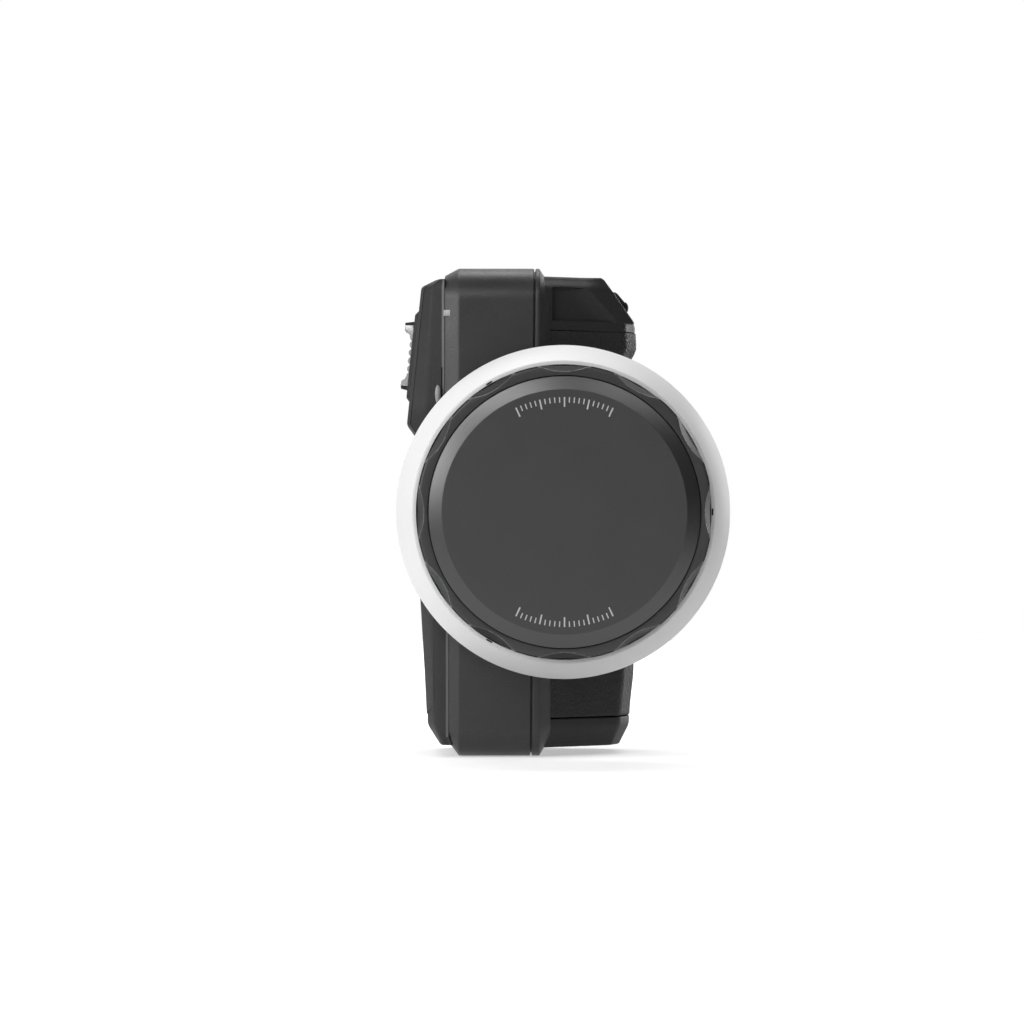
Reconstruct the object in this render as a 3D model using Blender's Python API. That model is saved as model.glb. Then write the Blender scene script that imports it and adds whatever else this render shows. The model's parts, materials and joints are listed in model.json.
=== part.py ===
"""Hand-held focus demand: a thin body with a large finger-scalloped knob.

Frame: +X is the far side, where the fingers close round the grip; -X faces the operator;
the knob points to -Y; +Y is the palm side; +Z is up. The origin is the middle of the flat base.
All lengths are in metres.
"""

import math

import bmesh
import bpy
from mathutils import Matrix, Vector

# Clearances

SEAT_GAP = 0.0003
RUNNING_GAP = 0.00015
CUT_OVERRUN = 0.004

# Central band of the body, with its chamfered sides

BAND_HEIGHT = 0.1182
BAND_DEPTH = 0.050
BAND_FLAT_WIDTH = 0.0195
BAND_TOP_RADIUS = 0.0082
BAND_BOTTOM_RADIUS = 0.0073
BAND_WALL = 0.0030
BAND_SIDE_WALL = 0.0022
NEAR_CHAMFER_WIDTH = 0.0034
NEAR_CHAMFER_TOP = 0.0023
NEAR_CHAMFER_FACE = 0.0030
FAR_CHAMFER_WIDTH = 0.0033
FAR_CHAMFER_TOP = 0.0042
FAR_CHAMFER_FACE = 0.0035
CHAMFER_BASE = 0.0048
SEAM_AT_TOP = 0.0087
SEAM_AT_BASE = 0.00774
SEAM_NICK = 0.0004

# Knob axis, measured from the middle of the base, and the depth of the knob from its face

KNOB_AXIS_OFFSET = 0.01543
KNOB_FACE_STANDOFF = 0.030

# Knob, turned about its axis: depths run from the face towards the body

FACE_BEVEL_WIDTH = 0.0031
FACE_BEVEL_DEPTH = 0.0016
FACE_THICKNESS = 0.0030
RIM_WIDTH = 0.0021
RIM_FILLET = 0.00075
KNOB_LENGTH = 0.0288
KNOB_WALL = 0.00375
KNOB_WEB = 0.0030
FLANGE_WIDTH = 0.00325
FLANGE_THICKNESS = 0.0011
SCALLOP_COUNT = 12
SCALLOP_RADIUS = 0.0153
SCALLOP_DEPTH = 0.00175
SCALLOP_END_DEPTH = 0.0142

# Marking ring

RING_RADIUS = 0.0400
RING_REACH = 0.00525
RING_LIP_WIDTH = 0.0009
RING_FRONT_DEPTH = 0.0155
RING_CONE_LENGTH = 0.0079
RING_BAND_LENGTH = 0.0036
RING_EDGE = 0.0006
RING_NOTCH_WIDTH = 0.0013
RING_NOTCH_DEPTH = 0.0010
RING_NOTCH_COUNT = 3

# Shaft, bearings and stop inside the knob

SHAFT_RADIUS = 0.0040
HUB_THICKNESS = 0.0028
BEARING_RADIUS = 0.0080
BEARING_WIDTH = 0.0050
BEARING_SPACING = 0.0100
BORE_SHOULDER = 0.0012
DAMPER_ROOM = 0.0035
DRUM_FRONT_DEPTH = 0.0120
DRUM_CONE_LENGTH = 0.0130
DRUM_WALL = 0.0022
TAIL_RADIUS = 0.0100
TAIL_LIP = 0.0010
STOP_PIN_RADIUS = 0.0015
STOP_GROOVE_WIDTH = 0.0045
STOP_GROOVE_DEPTH = 0.0030
KNOB_HALF_TURN = 150.0
CLIP_RADIUS = 0.0060
CLIP_THICKNESS = 0.0006
CLIP_GROOVE_DEPTH = 0.0006
CLIP_OPENING = 60.0
MAGNET_RADIUS = 0.0030
MAGNET_LENGTH = 0.0020
ENCODER_THICKNESS = 0.0014
DAMPER_RING_THICKNESS = 0.0012
DAMPER_STATOR_LENGTH = 0.0105
DAMPER_ROTOR_LENGTH = 0.0140
KNOB_SCREW_RADIUS = 0.0020
KNOB_SCREW_HEAD_RADIUS = 0.0036
KNOB_SCREW_HEAD_LENGTH = 0.0018
KNOB_SCREW_LENGTH = 0.0085

# Far side: finger grip, foot and finger module. Reach is measured from the middle of the base.

FAR_PLAN_DEPTH = 0.0440
FAR_ROOT_SINK = 0.0026
FAR_BASE_LIFT = 0.00234
FAR_FOOT_CHAMFER = 0.0048
FAR_FOOT_CHAMFER_WIDTH = 0.0026
FAR_FOOT_HEIGHT = 0.0020
FAR_CORNER_RADIUS = 0.0050
MODULE_TOP_DROP = 0.00236
MODULE_HEIGHT = 0.01294
GRIP_RUBBER = 0.0022
GRIP_WALL = 0.0020
GRIP_TOP_REACH = 0.03370
GRIP_CROWN_REACH = 0.03385
GRIP_WAIST_REACH = 0.03020
GRIP_HEEL_REACH = 0.03310
GRIP_FOOT_REACH = 0.03210
MODULE_REACH = 0.03340
MODULE_BEVEL = 0.0024
FINGER_FACE_TOP_REACH = 0.0254
FINGER_FACE_LOW_REACH = 0.0325
FINGER_FACE_HEIGHT = 0.00854

# Finger button in the slanted face

FINGER_BUTTON_LENGTH = 0.0078
FINGER_BUTTON_WIDTH = 0.0090
FINGER_BUTTON_RISE = 0.0014
FINGER_BUTTON_STEM = 0.0030
FINGER_BUTTON_DISH = 0.0006
FINGER_BUTTON_RIM = 0.0012
FINGER_BUTTON_TRAVEL = 0.0009
FINGER_SWITCH_HEIGHT = 0.0022

# Operator side: tilted control head above, side cover and thumb pad below

HEAD_TOP_DROP = 0.0028
HEAD_SHOULDER_DROP = 0.0021
HEAD_CROWN_REACH = 0.0150
HEAD_TOP_REACH = 0.0188
HEAD_HEIGHT = 0.0352
HEAD_LOW_REACH = 0.0223
HEAD_UNDERCUT_HEIGHT = 0.0037
HEAD_BASE_REACH = 0.0196
NEAR_PLAN_DEPTH = 0.0430
NEAR_CORNER_RADIUS = 0.0030
COVER_TOP_REACH = 0.0195
COVER_WAIST_REACH = 0.0191
COVER_FOOT_HEIGHT = 0.0097
COVER_FOOT_REACH = 0.01735
COVER_CHAMFER_HEIGHT = 0.0075
COVER_BASE_LIFT = 0.0027
COVER_BASE_REACH = 0.0143
PAD_BOTTOM_HEIGHT = 0.0124
PAD_EDGE_REACH = 0.01605
PAD_THICKNESS = 0.0014
PAD_RISE = 0.00015
NEAR_BASE_RADIUS = 0.0048

# Display in the control head

GLASS_WIDTH = 0.0224
GLASS_HEIGHT = 0.0270
GLASS_THICKNESS = 0.0009
GLASS_OFFSET = 0.0056
PANEL_WIDTH = 0.0196
PANEL_HEIGHT = 0.0236
PANEL_THICKNESS = 0.0017

# Thumb slider in the control head

BEZEL_LENGTH = 0.0214
BEZEL_WIDTH = 0.0102
BEZEL_WALL = 0.0014
BEZEL_RISE = 0.0010
BEZEL_SINK = 0.0005
SLIDER_OFFSET = 0.0122
SLIDER_LENGTH = 0.0170
SLIDER_HORN_RISE = 0.0029
SLIDER_SADDLE_RISE = 0.0014
SLIDER_RIB_RISE = 0.0004
SLIDER_RIB_PITCH = 0.0020
SLIDER_RIB_COUNT = 4
SLIDER_TRAVEL = 0.0014
SLIDER_STEM_DEPTH = 0.0030
SLIDER_STEM_LENGTH = 0.0070
SENSOR_LENGTH = 0.0160
SENSOR_THICKNESS = 0.0017

# Control buttons in the side cover

KEY_RADIUS = 0.0032
KEY_SPACING = 0.0098
KEY_RISE = 0.0008
KEY_FLANGE_WIDTH = 0.0008
KEY_FLANGE_THICKNESS = 0.0008
KEY_TRAVEL = 0.0006
KEY_WALL = 0.0022
KEY_BOARD_LENGTH = 0.0300
KEY_BOARD_HEIGHT = 0.0110
KEY_BOARD_THICKNESS = 0.0010

# Palm pad on the back of the band

PALM_PAD_WIDTH = 0.0165
PALM_PAD_THICKNESS = 0.0022
PALM_PAD_LOW_HEIGHT = 0.0180
PALM_PAD_CORNER = 0.0050
PALM_PAD_CROWN = 0.0012

# Boards, cell and sockets inside the band

BOARD_EDGE_ROOM = 0.0020
BOARD_HEIGHT = 0.0350
BOARD_THICKNESS = 0.0016
BOARD_TOP_ROOM = 0.0067
BOARD_POST_RADIUS = 0.0025
BOARD_POST_INSET = 0.0035
BOARD_STANDOFF = 0.0125
SHIELD_DEPTH = 0.0160
SHIELD_HEIGHT = 0.0180
SHIELD_THICKNESS = 0.0024
PORT_WIDTH = 0.0090
PORT_THICKNESS = 0.0032
PORT_LENGTH = 0.0072
PORT_WALL = 0.0004
PORT_TONGUE = 0.0008
PORT_DROP = 0.0147
CELL_RADIUS = 0.0092
CELL_HEAD_ROOM = 0.0083
CELL_BACK_GAP = 0.0034
CELL_CLIP_THICKNESS = 0.0015
CELL_CLIP_WIDTH = 0.0120
SOCKET_RADIUS = 0.0052
SOCKET_BORE_RADIUS = 0.0032
SOCKET_HEIGHT = 0.0092
SOCKET_CEILING = 0.0012
SOCKET_SETBACK = 0.0090
SOCKET_BOSS_WALL = 0.0022

# Status light let into the chamfer on the operator's side

LIGHT_DROP = 0.0110
LIGHT_TALL = 0.00145
LIGHT_WIDE = 0.0020
LIGHT_DEPTH = 0.0020

# Shares of the sizes that they follow

HUB_SHARE = 0.597
DRUM_CONE_SHARE = 0.545
STOP_CIRCLE_SHARE = 0.5545
COVER_WAIST_SHARE = 0.50
PAD_TOP_SHARE = 0.628
KEY_HEIGHT_SHARE = 0.8366
PALM_PAD_SHARE = 0.66
PLAN_SHOULDER_SHARE = 0.800
PLAN_SHOULDER_DEPTH_SHARE = 0.46
PLAN_TIP_DEPTH_SHARE = 0.16
PLAN_HEEL_TIP_DEPTH_SHARE = 0.44
PLAN_HEEL_DEPTH_SHARE = 0.80
NEAR_SHOULDER_SHARE = 0.50
NEAR_SHOULDER_DEPTH_SHARE = 0.96
NEAR_TIP_DEPTH_SHARE = 0.74
GRIP_HEIGHT_SHARES = (0.0, 0.13, 0.36, 0.62, 0.82, 0.93, 0.97, 1.0)
GRIP_REACH_SHARES = (0.0, 1.0, 1.0, 0.0, 0.15, 0.75, 1.0, 1.0)
MIN_RADIUS_SHARE = 0.15
RIM_FILLET_SHARES = (0.0, 0.30, 0.70, 1.0)
SCALLOP_LEVEL_SHARES = (0.33, 0.67, 1.0)
RING_BULGE_SHARE = 0.05
HORN_TIP_SHARE = 0.955
HORN_ROOT_SHARE = 0.62
RIB_WIDTH_SHARE = 0.45
FLARE_SHARE = 0.5
SWITCH_SHARE = 0.68
BUTTON_CORNER_SHARE = 0.80
MERGE_SHARE = 0.001

# Counts of facets

ARC_STEPS = 4
SMALL_ARC_STEPS = 3
KNOB_LAND_STEPS = 2
GRIP_RINGS = 10
SCALLOP_STEPS = 5
EDGE_STEPS = 2
TURN_STEPS = 56
SMALL_TURN_STEPS = 28
TINY_TURN_STEPS = 20
FULL_TURN = 2.0 * math.pi
SMOOTH_ANGLE = math.radians(32.0)

# Places worked out from the sizes

BAND_FRONT = -BAND_DEPTH / 2
BAND_BACK = BAND_DEPTH / 2
BAND_HALF_FLAT = BAND_FLAT_WIDTH / 2
NEAR_EDGE = -BAND_HALF_FLAT - NEAR_CHAMFER_WIDTH
FAR_EDGE = BAND_HALF_FLAT + FAR_CHAMFER_WIDTH
KNOB_HEIGHT = BAND_HEIGHT / 2
FACE_PLANE = BAND_FRONT - KNOB_FACE_STANDOFF
KNOB_AXIS = Vector((KNOB_AXIS_OFFSET, FACE_PLANE, KNOB_HEIGHT))
KNOB_RADIUS = RING_RADIUS - RING_REACH
RIM_RADIUS = KNOB_RADIUS - RIM_FILLET
FACE_BEVEL_RADIUS = RIM_RADIUS - RIM_WIDTH
FACE_DISC_RADIUS = FACE_BEVEL_RADIUS - FACE_BEVEL_WIDTH
FLANGE_RADIUS = KNOB_RADIUS + FLANGE_WIDTH
SCALLOP_ROOT_RADIUS = KNOB_RADIUS - SCALLOP_DEPTH
RING_BORE = KNOB_RADIUS + SEAT_GAP
KNOB_BORE = KNOB_RADIUS - KNOB_WALL
HUB_RADIUS = KNOB_BORE * HUB_SHARE
DRUM_RADIUS = KNOB_BORE - DAMPER_ROOM
DRUM_CONE_RADIUS = DRUM_RADIUS * DRUM_CONE_SHARE
STOP_CIRCLE_RADIUS = DRUM_RADIUS * STOP_CIRCLE_SHARE
WEB_FRONT = FACE_THICKNESS + SEAT_GAP
WEB_BACK = WEB_FRONT + KNOB_WEB
COUNTERBORE_RADIUS = KNOB_SCREW_HEAD_RADIUS + SEAT_GAP
COUNTERBORE_DEPTH = WEB_FRONT + KNOB_SCREW_HEAD_LENGTH + SEAT_GAP
HUB_FRONT = WEB_BACK + SEAT_GAP
HUB_BACK = HUB_FRONT + HUB_THICKNESS
FRONT_BEARING = DRUM_FRONT_DEPTH + SEAT_GAP
BORE_WIDE_END = FRONT_BEARING + BEARING_WIDTH + SEAT_GAP
REAR_BEARING = BORE_WIDE_END + BEARING_SPACING + SEAT_GAP
REAR_BEARING_BACK = REAR_BEARING + BEARING_WIDTH
CLIP_FRONT = REAR_BEARING_BACK + SEAT_GAP
SHAFT_END = CLIP_FRONT + CLIP_THICKNESS + 2 * CLIP_GROOVE_DEPTH
MAGNET_FRONT = SHAFT_END + SEAT_GAP
ENCODER_FRONT = MAGNET_FRONT + MAGNET_LENGTH + CLIP_THICKNESS
TAIL_END_DEPTH = ENCODER_FRONT + ENCODER_THICKNESS + TAIL_LIP
DRUM_BACK_DEPTH = KNOB_FACE_STANDOFF + SEAT_GAP
PAD_LOW_EDGE = FAR_BASE_LIFT + FAR_FOOT_CHAMFER + FAR_FOOT_HEIGHT
MODULE_TOP_HEIGHT = BAND_HEIGHT - MODULE_TOP_DROP
GRIP_TOP_HEIGHT = MODULE_TOP_HEIGHT - MODULE_HEIGHT
MODULE_BASE = GRIP_TOP_HEIGHT + SEAT_GAP / 2
FINGER_FACE_LOW_HEIGHT = MODULE_TOP_HEIGHT - FINGER_FACE_HEIGHT
ROOT_REACH = FAR_EDGE - FAR_ROOT_SINK
HEAD_TOP_HEIGHT = BAND_HEIGHT - HEAD_TOP_DROP
HEAD_LOW_HEIGHT = HEAD_TOP_HEIGHT - HEAD_HEIGHT
HEAD_BASE_HEIGHT = HEAD_LOW_HEIGHT - HEAD_UNDERCUT_HEIGHT
COVER_WAIST_HEIGHT = HEAD_BASE_HEIGHT * COVER_WAIST_SHARE
PAD_TOP_HEIGHT = HEAD_BASE_HEIGHT * PAD_TOP_SHARE
KEY_HEIGHT = HEAD_BASE_HEIGHT * KEY_HEIGHT_SHARE
PALM_PAD_HEIGHT = BAND_HEIGHT * PALM_PAD_SHARE
BOARD_DEPTH = BAND_DEPTH - 2 * (BAND_WALL + BOARD_EDGE_ROOM)
BOARD_LOW_HEIGHT = BAND_HEIGHT - BOARD_TOP_ROOM - BOARD_HEIGHT
PORT_HEIGHT = BAND_HEIGHT - PORT_DROP
CELL_HEIGHT = BOARD_LOW_HEIGHT - BAND_WALL - CELL_HEAD_ROOM
LIGHT_HEIGHT = BAND_HEIGHT - LIGHT_DROP
KEY_COVER_SHARE = (KEY_HEIGHT - COVER_WAIST_HEIGHT) / (HEAD_BASE_HEIGHT - COVER_WAIST_HEIGHT)
KEY_HEIGHT_REACH = COVER_WAIST_REACH + (COVER_TOP_REACH - COVER_WAIST_REACH) * KEY_COVER_SHARE
HEAD_SHOULDER_HEIGHT = HEAD_TOP_HEIGHT - HEAD_SHOULDER_DROP
HEAD_MIDDLE = Vector(
    (-(HEAD_TOP_REACH + HEAD_LOW_REACH) / 2, 0, (HEAD_SHOULDER_HEIGHT + HEAD_LOW_HEIGHT) / 2)
)
HEAD_TILT = math.atan2(HEAD_LOW_REACH - HEAD_TOP_REACH, HEAD_SHOULDER_HEIGHT - HEAD_LOW_HEIGHT)
FINGER_RUN = FINGER_FACE_LOW_REACH - FINGER_FACE_TOP_REACH
FINGER_TILT = -math.atan2(FINGER_RUN, FINGER_FACE_HEIGHT)
FINGER_MIDDLE = Vector(
    (
        (FINGER_FACE_TOP_REACH + FINGER_FACE_LOW_REACH) / 2,
        0,
        (MODULE_TOP_HEIGHT + FINGER_FACE_LOW_HEIGHT) / 2,
    )
)


# Finishes

def finish(name, colour, roughness, metallic=0.0):
    """Return a Principled material."""
    material = bpy.data.materials.new(name)
    material.use_nodes = True
    shader = material.node_tree.nodes["Principled BSDF"]
    shader.inputs["Base Color"].default_value = (*colour, 1.0)
    shader.inputs["Roughness"].default_value = roughness
    shader.inputs["Metallic"].default_value = metallic
    material.diffuse_color = (*colour, 1.0)
    return material


FINISH_TABLE = {
    "band_black": ((0.045, 0.045, 0.048), 0.42, 0.0),
    "shell_black": ((0.030, 0.030, 0.032), 0.46, 0.0),
    "rubber_black": ((0.022, 0.022, 0.024), 0.75, 0.0),
    "knob_black": ((0.040, 0.040, 0.042), 0.48, 0.0),
    "ring_white": ((0.80, 0.80, 0.80), 0.40, 0.0),
    "slider_silver": ((0.60, 0.60, 0.62), 0.35, 0.8),
    "light_diffuser": ((0.55, 0.55, 0.55), 0.30, 0.0),
    "dark_glass": ((0.010, 0.010, 0.012), 0.08, 0.0),
    "steel": ((0.55, 0.55, 0.56), 0.30, 1.0),
    "alloy": ((0.65, 0.65, 0.67), 0.35, 1.0),
    "brass": ((0.70, 0.52, 0.25), 0.30, 1.0),
    "board_green": ((0.03, 0.16, 0.07), 0.55, 0.0),
    "cell_wrap": ((0.10, 0.16, 0.32), 0.50, 0.0),
}


# Mesh helpers

def place(name, mesh, material=None, parent=None, matrix=None):
    """Put a mesh in the scene as a smooth-shaded object."""
    mesh.shade_smooth()
    mesh.set_sharp_from_angle(angle=SMOOTH_ANGLE)
    piece = bpy.data.objects.new(name, mesh)
    bpy.context.scene.collection.objects.link(piece)
    if material is not None:
        mesh.materials.append(bpy.data.materials[material])
    if parent is not None:
        piece.parent = parent
    if matrix is not None:
        piece.matrix_local = matrix
    return piece


def as_cutter(piece):
    """Mark a shape that only cuts others."""
    piece.hide_render = True
    piece.display_type = "WIRE"
    return piece


def frame_at(name, location, turn_about_y=0.0):
    """Return an empty that carries the pieces of one local frame."""
    empty = bpy.data.objects.new(name, None)
    bpy.context.scene.collection.objects.link(empty)
    empty.matrix_world = Matrix.Translation(location) @ Matrix.Rotation(turn_about_y, 4, "Y")
    return empty


def solve(target, other, operation):
    """Add an exact Boolean with another object."""
    step = target.modifiers.new(operation.lower() + "_" + other.name, "BOOLEAN")
    step.operation = operation
    step.solver = "EXACT"
    step.object = other
    as_cutter(other)
    return target


def cut(target, *cutters):
    """Take cutters out of a target."""
    for cutter in cutters:
        solve(target, cutter, "DIFFERENCE")
    return target


def fuse(target, *others):
    """Add other shapes to a target."""
    for other in others:
        solve(target, other, "UNION")
    return target


def keep_inside(target, region):
    """Keep only what lies inside a region."""
    return solve(target, region, "INTERSECT")


def loft(name, rings, material=None, parent=None, closed=False, twisted=False):
    """Join rings of points, each with as many points, into one closed solid.

    A twisted wall is split along the same diagonal all the way, so that walls set one inside
    the other stay parallel.
    """
    shape = bmesh.new()
    loops = [[shape.verts.new(point) for point in ring] for ring in rings]
    ends = loops[1:] + loops[:1] if closed else loops[1:]
    for low, high in zip(loops, ends):
        for index in range(len(low)):
            after = (index + 1) % len(low)
            if twisted:
                shape.faces.new((low[index], low[after], high[after]))
                shape.faces.new((low[index], high[after], high[index]))
            else:
                shape.faces.new((low[index], low[after], high[after], high[index]))
    if not closed:
        shape.faces.new(list(reversed(loops[0])))
        shape.faces.new(loops[-1])
    bmesh.ops.recalc_face_normals(shape, faces=shape.faces)
    mesh = bpy.data.meshes.new(name)
    shape.to_mesh(mesh)
    shape.free()
    return place(name, mesh, material, parent)


def prism(name, outline, axis, low, high, material=None, parent=None):
    """Extrude an outline along X, Y or Z between two places."""
    def lifted(point, level):
        first, second = point
        return {
            "X": (level, first, second),
            "Y": (first, level, second),
            "Z": (first, second, level),
        }[axis]

    rings = [[lifted(point, level) for point in outline] for level in (low, high)]
    return loft(name, rings, material, parent)


def turned(name, profile, steps, material=None, parent=None, angle=FULL_TURN, start=0.0):
    """Spin a profile of (radius, depth) pairs about the Y axis of its frame."""
    shape = bmesh.new()
    on_axis = profile[0][0] == 0 and profile[-1][0] == 0
    opening = Matrix.Rotation(start, 3, "Y")
    verts = [shape.verts.new(opening @ Vector((radius, depth, 0))) for radius, depth in profile]
    pairs = zip(verts, verts[1:] if on_axis else verts[1:] + verts[:1])
    edges = [shape.edges.new(pair) for pair in pairs]
    whole = angle == FULL_TURN
    spun = bmesh.ops.spin(
        shape,
        geom=verts + edges,
        cent=(0, 0, 0),
        axis=(0, 1, 0),
        angle=angle,
        steps=steps,
        use_merge=whole,
    )
    if not whole:
        last = [item for item in spun["geom_last"] if isinstance(item, bmesh.types.BMEdge)]
        bmesh.ops.holes_fill(shape, edges=edges + last)
    bmesh.ops.remove_doubles(shape, verts=shape.verts, dist=SEAT_GAP * MERGE_SHARE)
    bmesh.ops.recalc_face_normals(shape, faces=shape.faces)
    mesh = bpy.data.meshes.new(name)
    shape.to_mesh(mesh)
    shape.free()
    return place(name, mesh, material, parent)


def turned_at(name, profile, steps, centre, axis, material=None, parent=None):
    """Spin a profile about an axis through a point; depths run along that axis."""
    piece = turned(name, profile, steps, material, parent)
    turn = Vector((0, 1, 0)).rotation_difference(Vector(axis)).to_matrix().to_4x4()
    piece.matrix_local = Matrix.Translation(centre) @ turn
    return piece


def disc(radius, start, end):
    """Return the profile of a solid disc."""
    return [(0, start), (radius, start), (radius, end), (0, end)]


def sleeve(inner, outer, start, end):
    """Return the profile of a plain ring."""
    return [(inner, start), (outer, start), (outer, end), (inner, end)]


def box(name, low, high, material=None, parent=None, bevel=0.0):
    """Return a block between two corners, with its edges bevelled if asked."""
    outline = [(low[0], low[1]), (high[0], low[1]), (high[0], high[1]), (low[0], high[1])]
    piece = prism(name, outline, "Z", low[2], high[2], material, parent)
    if bevel > 0:
        edge = piece.modifiers.new("soft_edges", "BEVEL")
        edge.width = bevel
        edge.segments = EDGE_STEPS
    return piece


# Outline helpers

def rounded(corners, radii, steps=ARC_STEPS):
    """Replace each corner of a polygon with an arc of its radius."""
    points = []
    count = len(corners)
    for index, corner in enumerate(corners):
        radius = radii[index]
        if radius <= 0:
            points.append(Vector(corner))
            continue
        corner = Vector(corner)
        before = (Vector(corners[index - 1]) - corner).normalized()
        after = (Vector(corners[(index + 1) % count]) - corner).normalized()
        half = before.angle(after) / 2
        centre = corner + (before + after).normalized() * (radius / math.sin(half))
        first = corner + before * (radius / math.tan(half)) - centre
        last = corner + after * (radius / math.tan(half)) - centre
        start = math.atan2(first.y, first.x)
        sweep = math.atan2(last.y, last.x) - start
        sweep = (sweep + math.pi) % FULL_TURN - math.pi
        for step in range(steps + 1):
            angle = start + sweep * step / steps
            points.append(centre + Vector((math.cos(angle), math.sin(angle))) * radius)
    return points


def inset(corners, distances):
    """Move each edge of a counter-clockwise polygon inwards; edge i starts at corner i."""
    count = len(corners)
    lines = []
    for index, distance in enumerate(distances):
        corner = Vector(corners[index])
        along = (Vector(corners[(index + 1) % count]) - corner).normalized()
        inward = Vector((-along.y, along.x))
        lines.append((corner + inward * distance, along))
    moved = []
    for index in range(count):
        here, along_here = lines[index - 1]
        there, along_there = lines[index]
        cross = along_here.cross(along_there)
        travel = (there - here).cross(along_there) / cross
        moved.append(here + along_here * travel)
    return moved


def rectangle(width, height, radius, centre=(0, 0), steps=SMALL_ARC_STEPS):
    """Return a rounded rectangle about a centre."""
    left = centre[0] - width / 2
    right = centre[0] + width / 2
    low = centre[1] - height / 2
    high = centre[1] + height / 2
    corners = [(left, low), (right, low), (right, high), (left, high)]
    return rounded(corners, [radius] * len(corners), steps)


def softened(radius, amount):
    """Return a corner radius after its walls moved inwards by an amount."""
    return max(radius - amount, radius * MIN_RADIUS_SHARE)


# Central band

def seam_at(height):
    """Return where the parting line of the two shells lies at a height."""
    return SEAM_AT_BASE + (SEAM_AT_TOP - SEAM_AT_BASE) * height / BAND_HEIGHT


def band_ring(place_at, top, base, face):
    """Return the band's outline in Y and Z, moved inwards at its top, base and faces."""
    corners = [
        (BAND_FRONT + face, base),
        (BAND_BACK - face, base),
        (BAND_BACK - face, BAND_HEIGHT - top),
        (BAND_FRONT + face, BAND_HEIGHT - top),
    ]
    low = softened(BAND_BOTTOM_RADIUS, (base + face) / 2)
    high = softened(BAND_TOP_RADIUS, (top + face) / 2)
    outline = rounded(corners, [low, low, high, high])
    return [(place_at(point.y), point.x, point.y) for point in outline]


def at(value):
    """Return a place that doesn't change with height."""
    return lambda height: value


def near_band_rings(grow=0.0):
    """Return the rings of the operator's half of the band, up to its flat."""
    return [
        band_ring(
            at(NEAR_EDGE - grow),
            NEAR_CHAMFER_TOP - grow,
            CHAMFER_BASE - grow,
            NEAR_CHAMFER_FACE - grow,
        ),
        band_ring(at(-BAND_HALF_FLAT - grow), -grow, -grow, -grow),
    ]


def far_band_rings(grow=0.0):
    """Return the rings of the far half of the band, from its flat outwards."""
    return [
        band_ring(at(BAND_HALF_FLAT + grow), -grow, -grow, -grow),
        band_ring(
            at(FAR_EDGE + grow),
            FAR_CHAMFER_TOP - grow,
            CHAMFER_BASE - grow,
            FAR_CHAMFER_FACE - grow,
        ),
    ]


def band_envelope():
    """Return the whole band, one seat gap larger, to cut what sits on it."""
    rings = near_band_rings(SEAT_GAP) + far_band_rings(SEAT_GAP)
    return as_cutter(loft("band_envelope", rings))


def seam_rings(side):
    """Return the two rings that make a shell's nicked edge at the parting line."""
    gap = SEAT_GAP / 2 * side
    flush = band_ring(lambda height: seam_at(height) + gap + SEAM_NICK * side, 0, 0, 0)
    edge = band_ring(lambda height: seam_at(height) + gap, SEAM_NICK, SEAM_NICK, SEAM_NICK)
    return flush, edge


def operator_housing(knob_frame):
    """Model the operator's shell of the band, with its posts and socket boss."""
    flush, edge = seam_rings(-1)
    shell = loft("operator_housing", near_band_rings() + [flush, edge], "band_black")
    inner = NEAR_EDGE + BAND_SIDE_WALL
    reach = BAND_HALF_FLAT
    cavity = loft(
        "operator_cavity",
        [
            band_ring(at(inner), BAND_WALL, BAND_WALL, BAND_WALL),
            band_ring(at(reach), BAND_WALL, BAND_WALL, BAND_WALL),
        ],
    )
    cut(shell, cavity)
    for number, (side, level) in enumerate(board_post_places()):
        post = turned_at(
            "board_post_%d" % number,
            disc(BOARD_POST_RADIUS, 0, BAND_SIDE_WALL / 2 + BOARD_STANDOFF - SEAT_GAP),
            TINY_TURN_STEPS,
            (inner - BAND_SIDE_WALL / 2, side, level),
            (1, 0, 0),
        )
        fuse(shell, post)
    boss_radius = SOCKET_RADIUS + SOCKET_BOSS_WALL
    boss = turned_at(
        "socket_boss",
        disc(boss_radius, BAND_WALL / 2, SOCKET_HEIGHT + SEAT_GAP),
        SMALL_TURN_STEPS,
        (0, -SOCKET_SETBACK, 0),
        (0, 0, 1),
    )
    hole = turned_at(
        "socket_seat",
        disc(SOCKET_RADIUS + SEAT_GAP, -CUT_OVERRUN, SOCKET_HEIGHT + CUT_OVERRUN),
        SMALL_TURN_STEPS,
        (0, -SOCKET_SETBACK, 0),
        (0, 0, 1),
    )
    fuse(shell, boss)
    cut(shell, hole, tail_hole(knob_frame, "near_tail_hole"), port_hole(), light_seat())
    return shell


def board_post_places():
    """Return where the four posts of the main board stand, as (depth, height)."""
    reach = BOARD_DEPTH / 2 - BOARD_POST_INSET
    low = BOARD_LOW_HEIGHT + BOARD_POST_INSET
    high = BOARD_LOW_HEIGHT + BOARD_HEIGHT - BOARD_POST_INSET
    return [(-reach, low), (reach, low), (-reach, high), (reach, high)]


def tail_hole(knob_frame, name):
    """Return the hole through the body for the turret's tail."""
    profile = disc(TAIL_RADIUS + SEAT_GAP, KNOB_FACE_STANDOFF - CUT_OVERRUN, TAIL_END_DEPTH + SEAT_GAP)
    return as_cutter(turned(name, profile, SMALL_TURN_STEPS, parent=knob_frame))


# Far side

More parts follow.
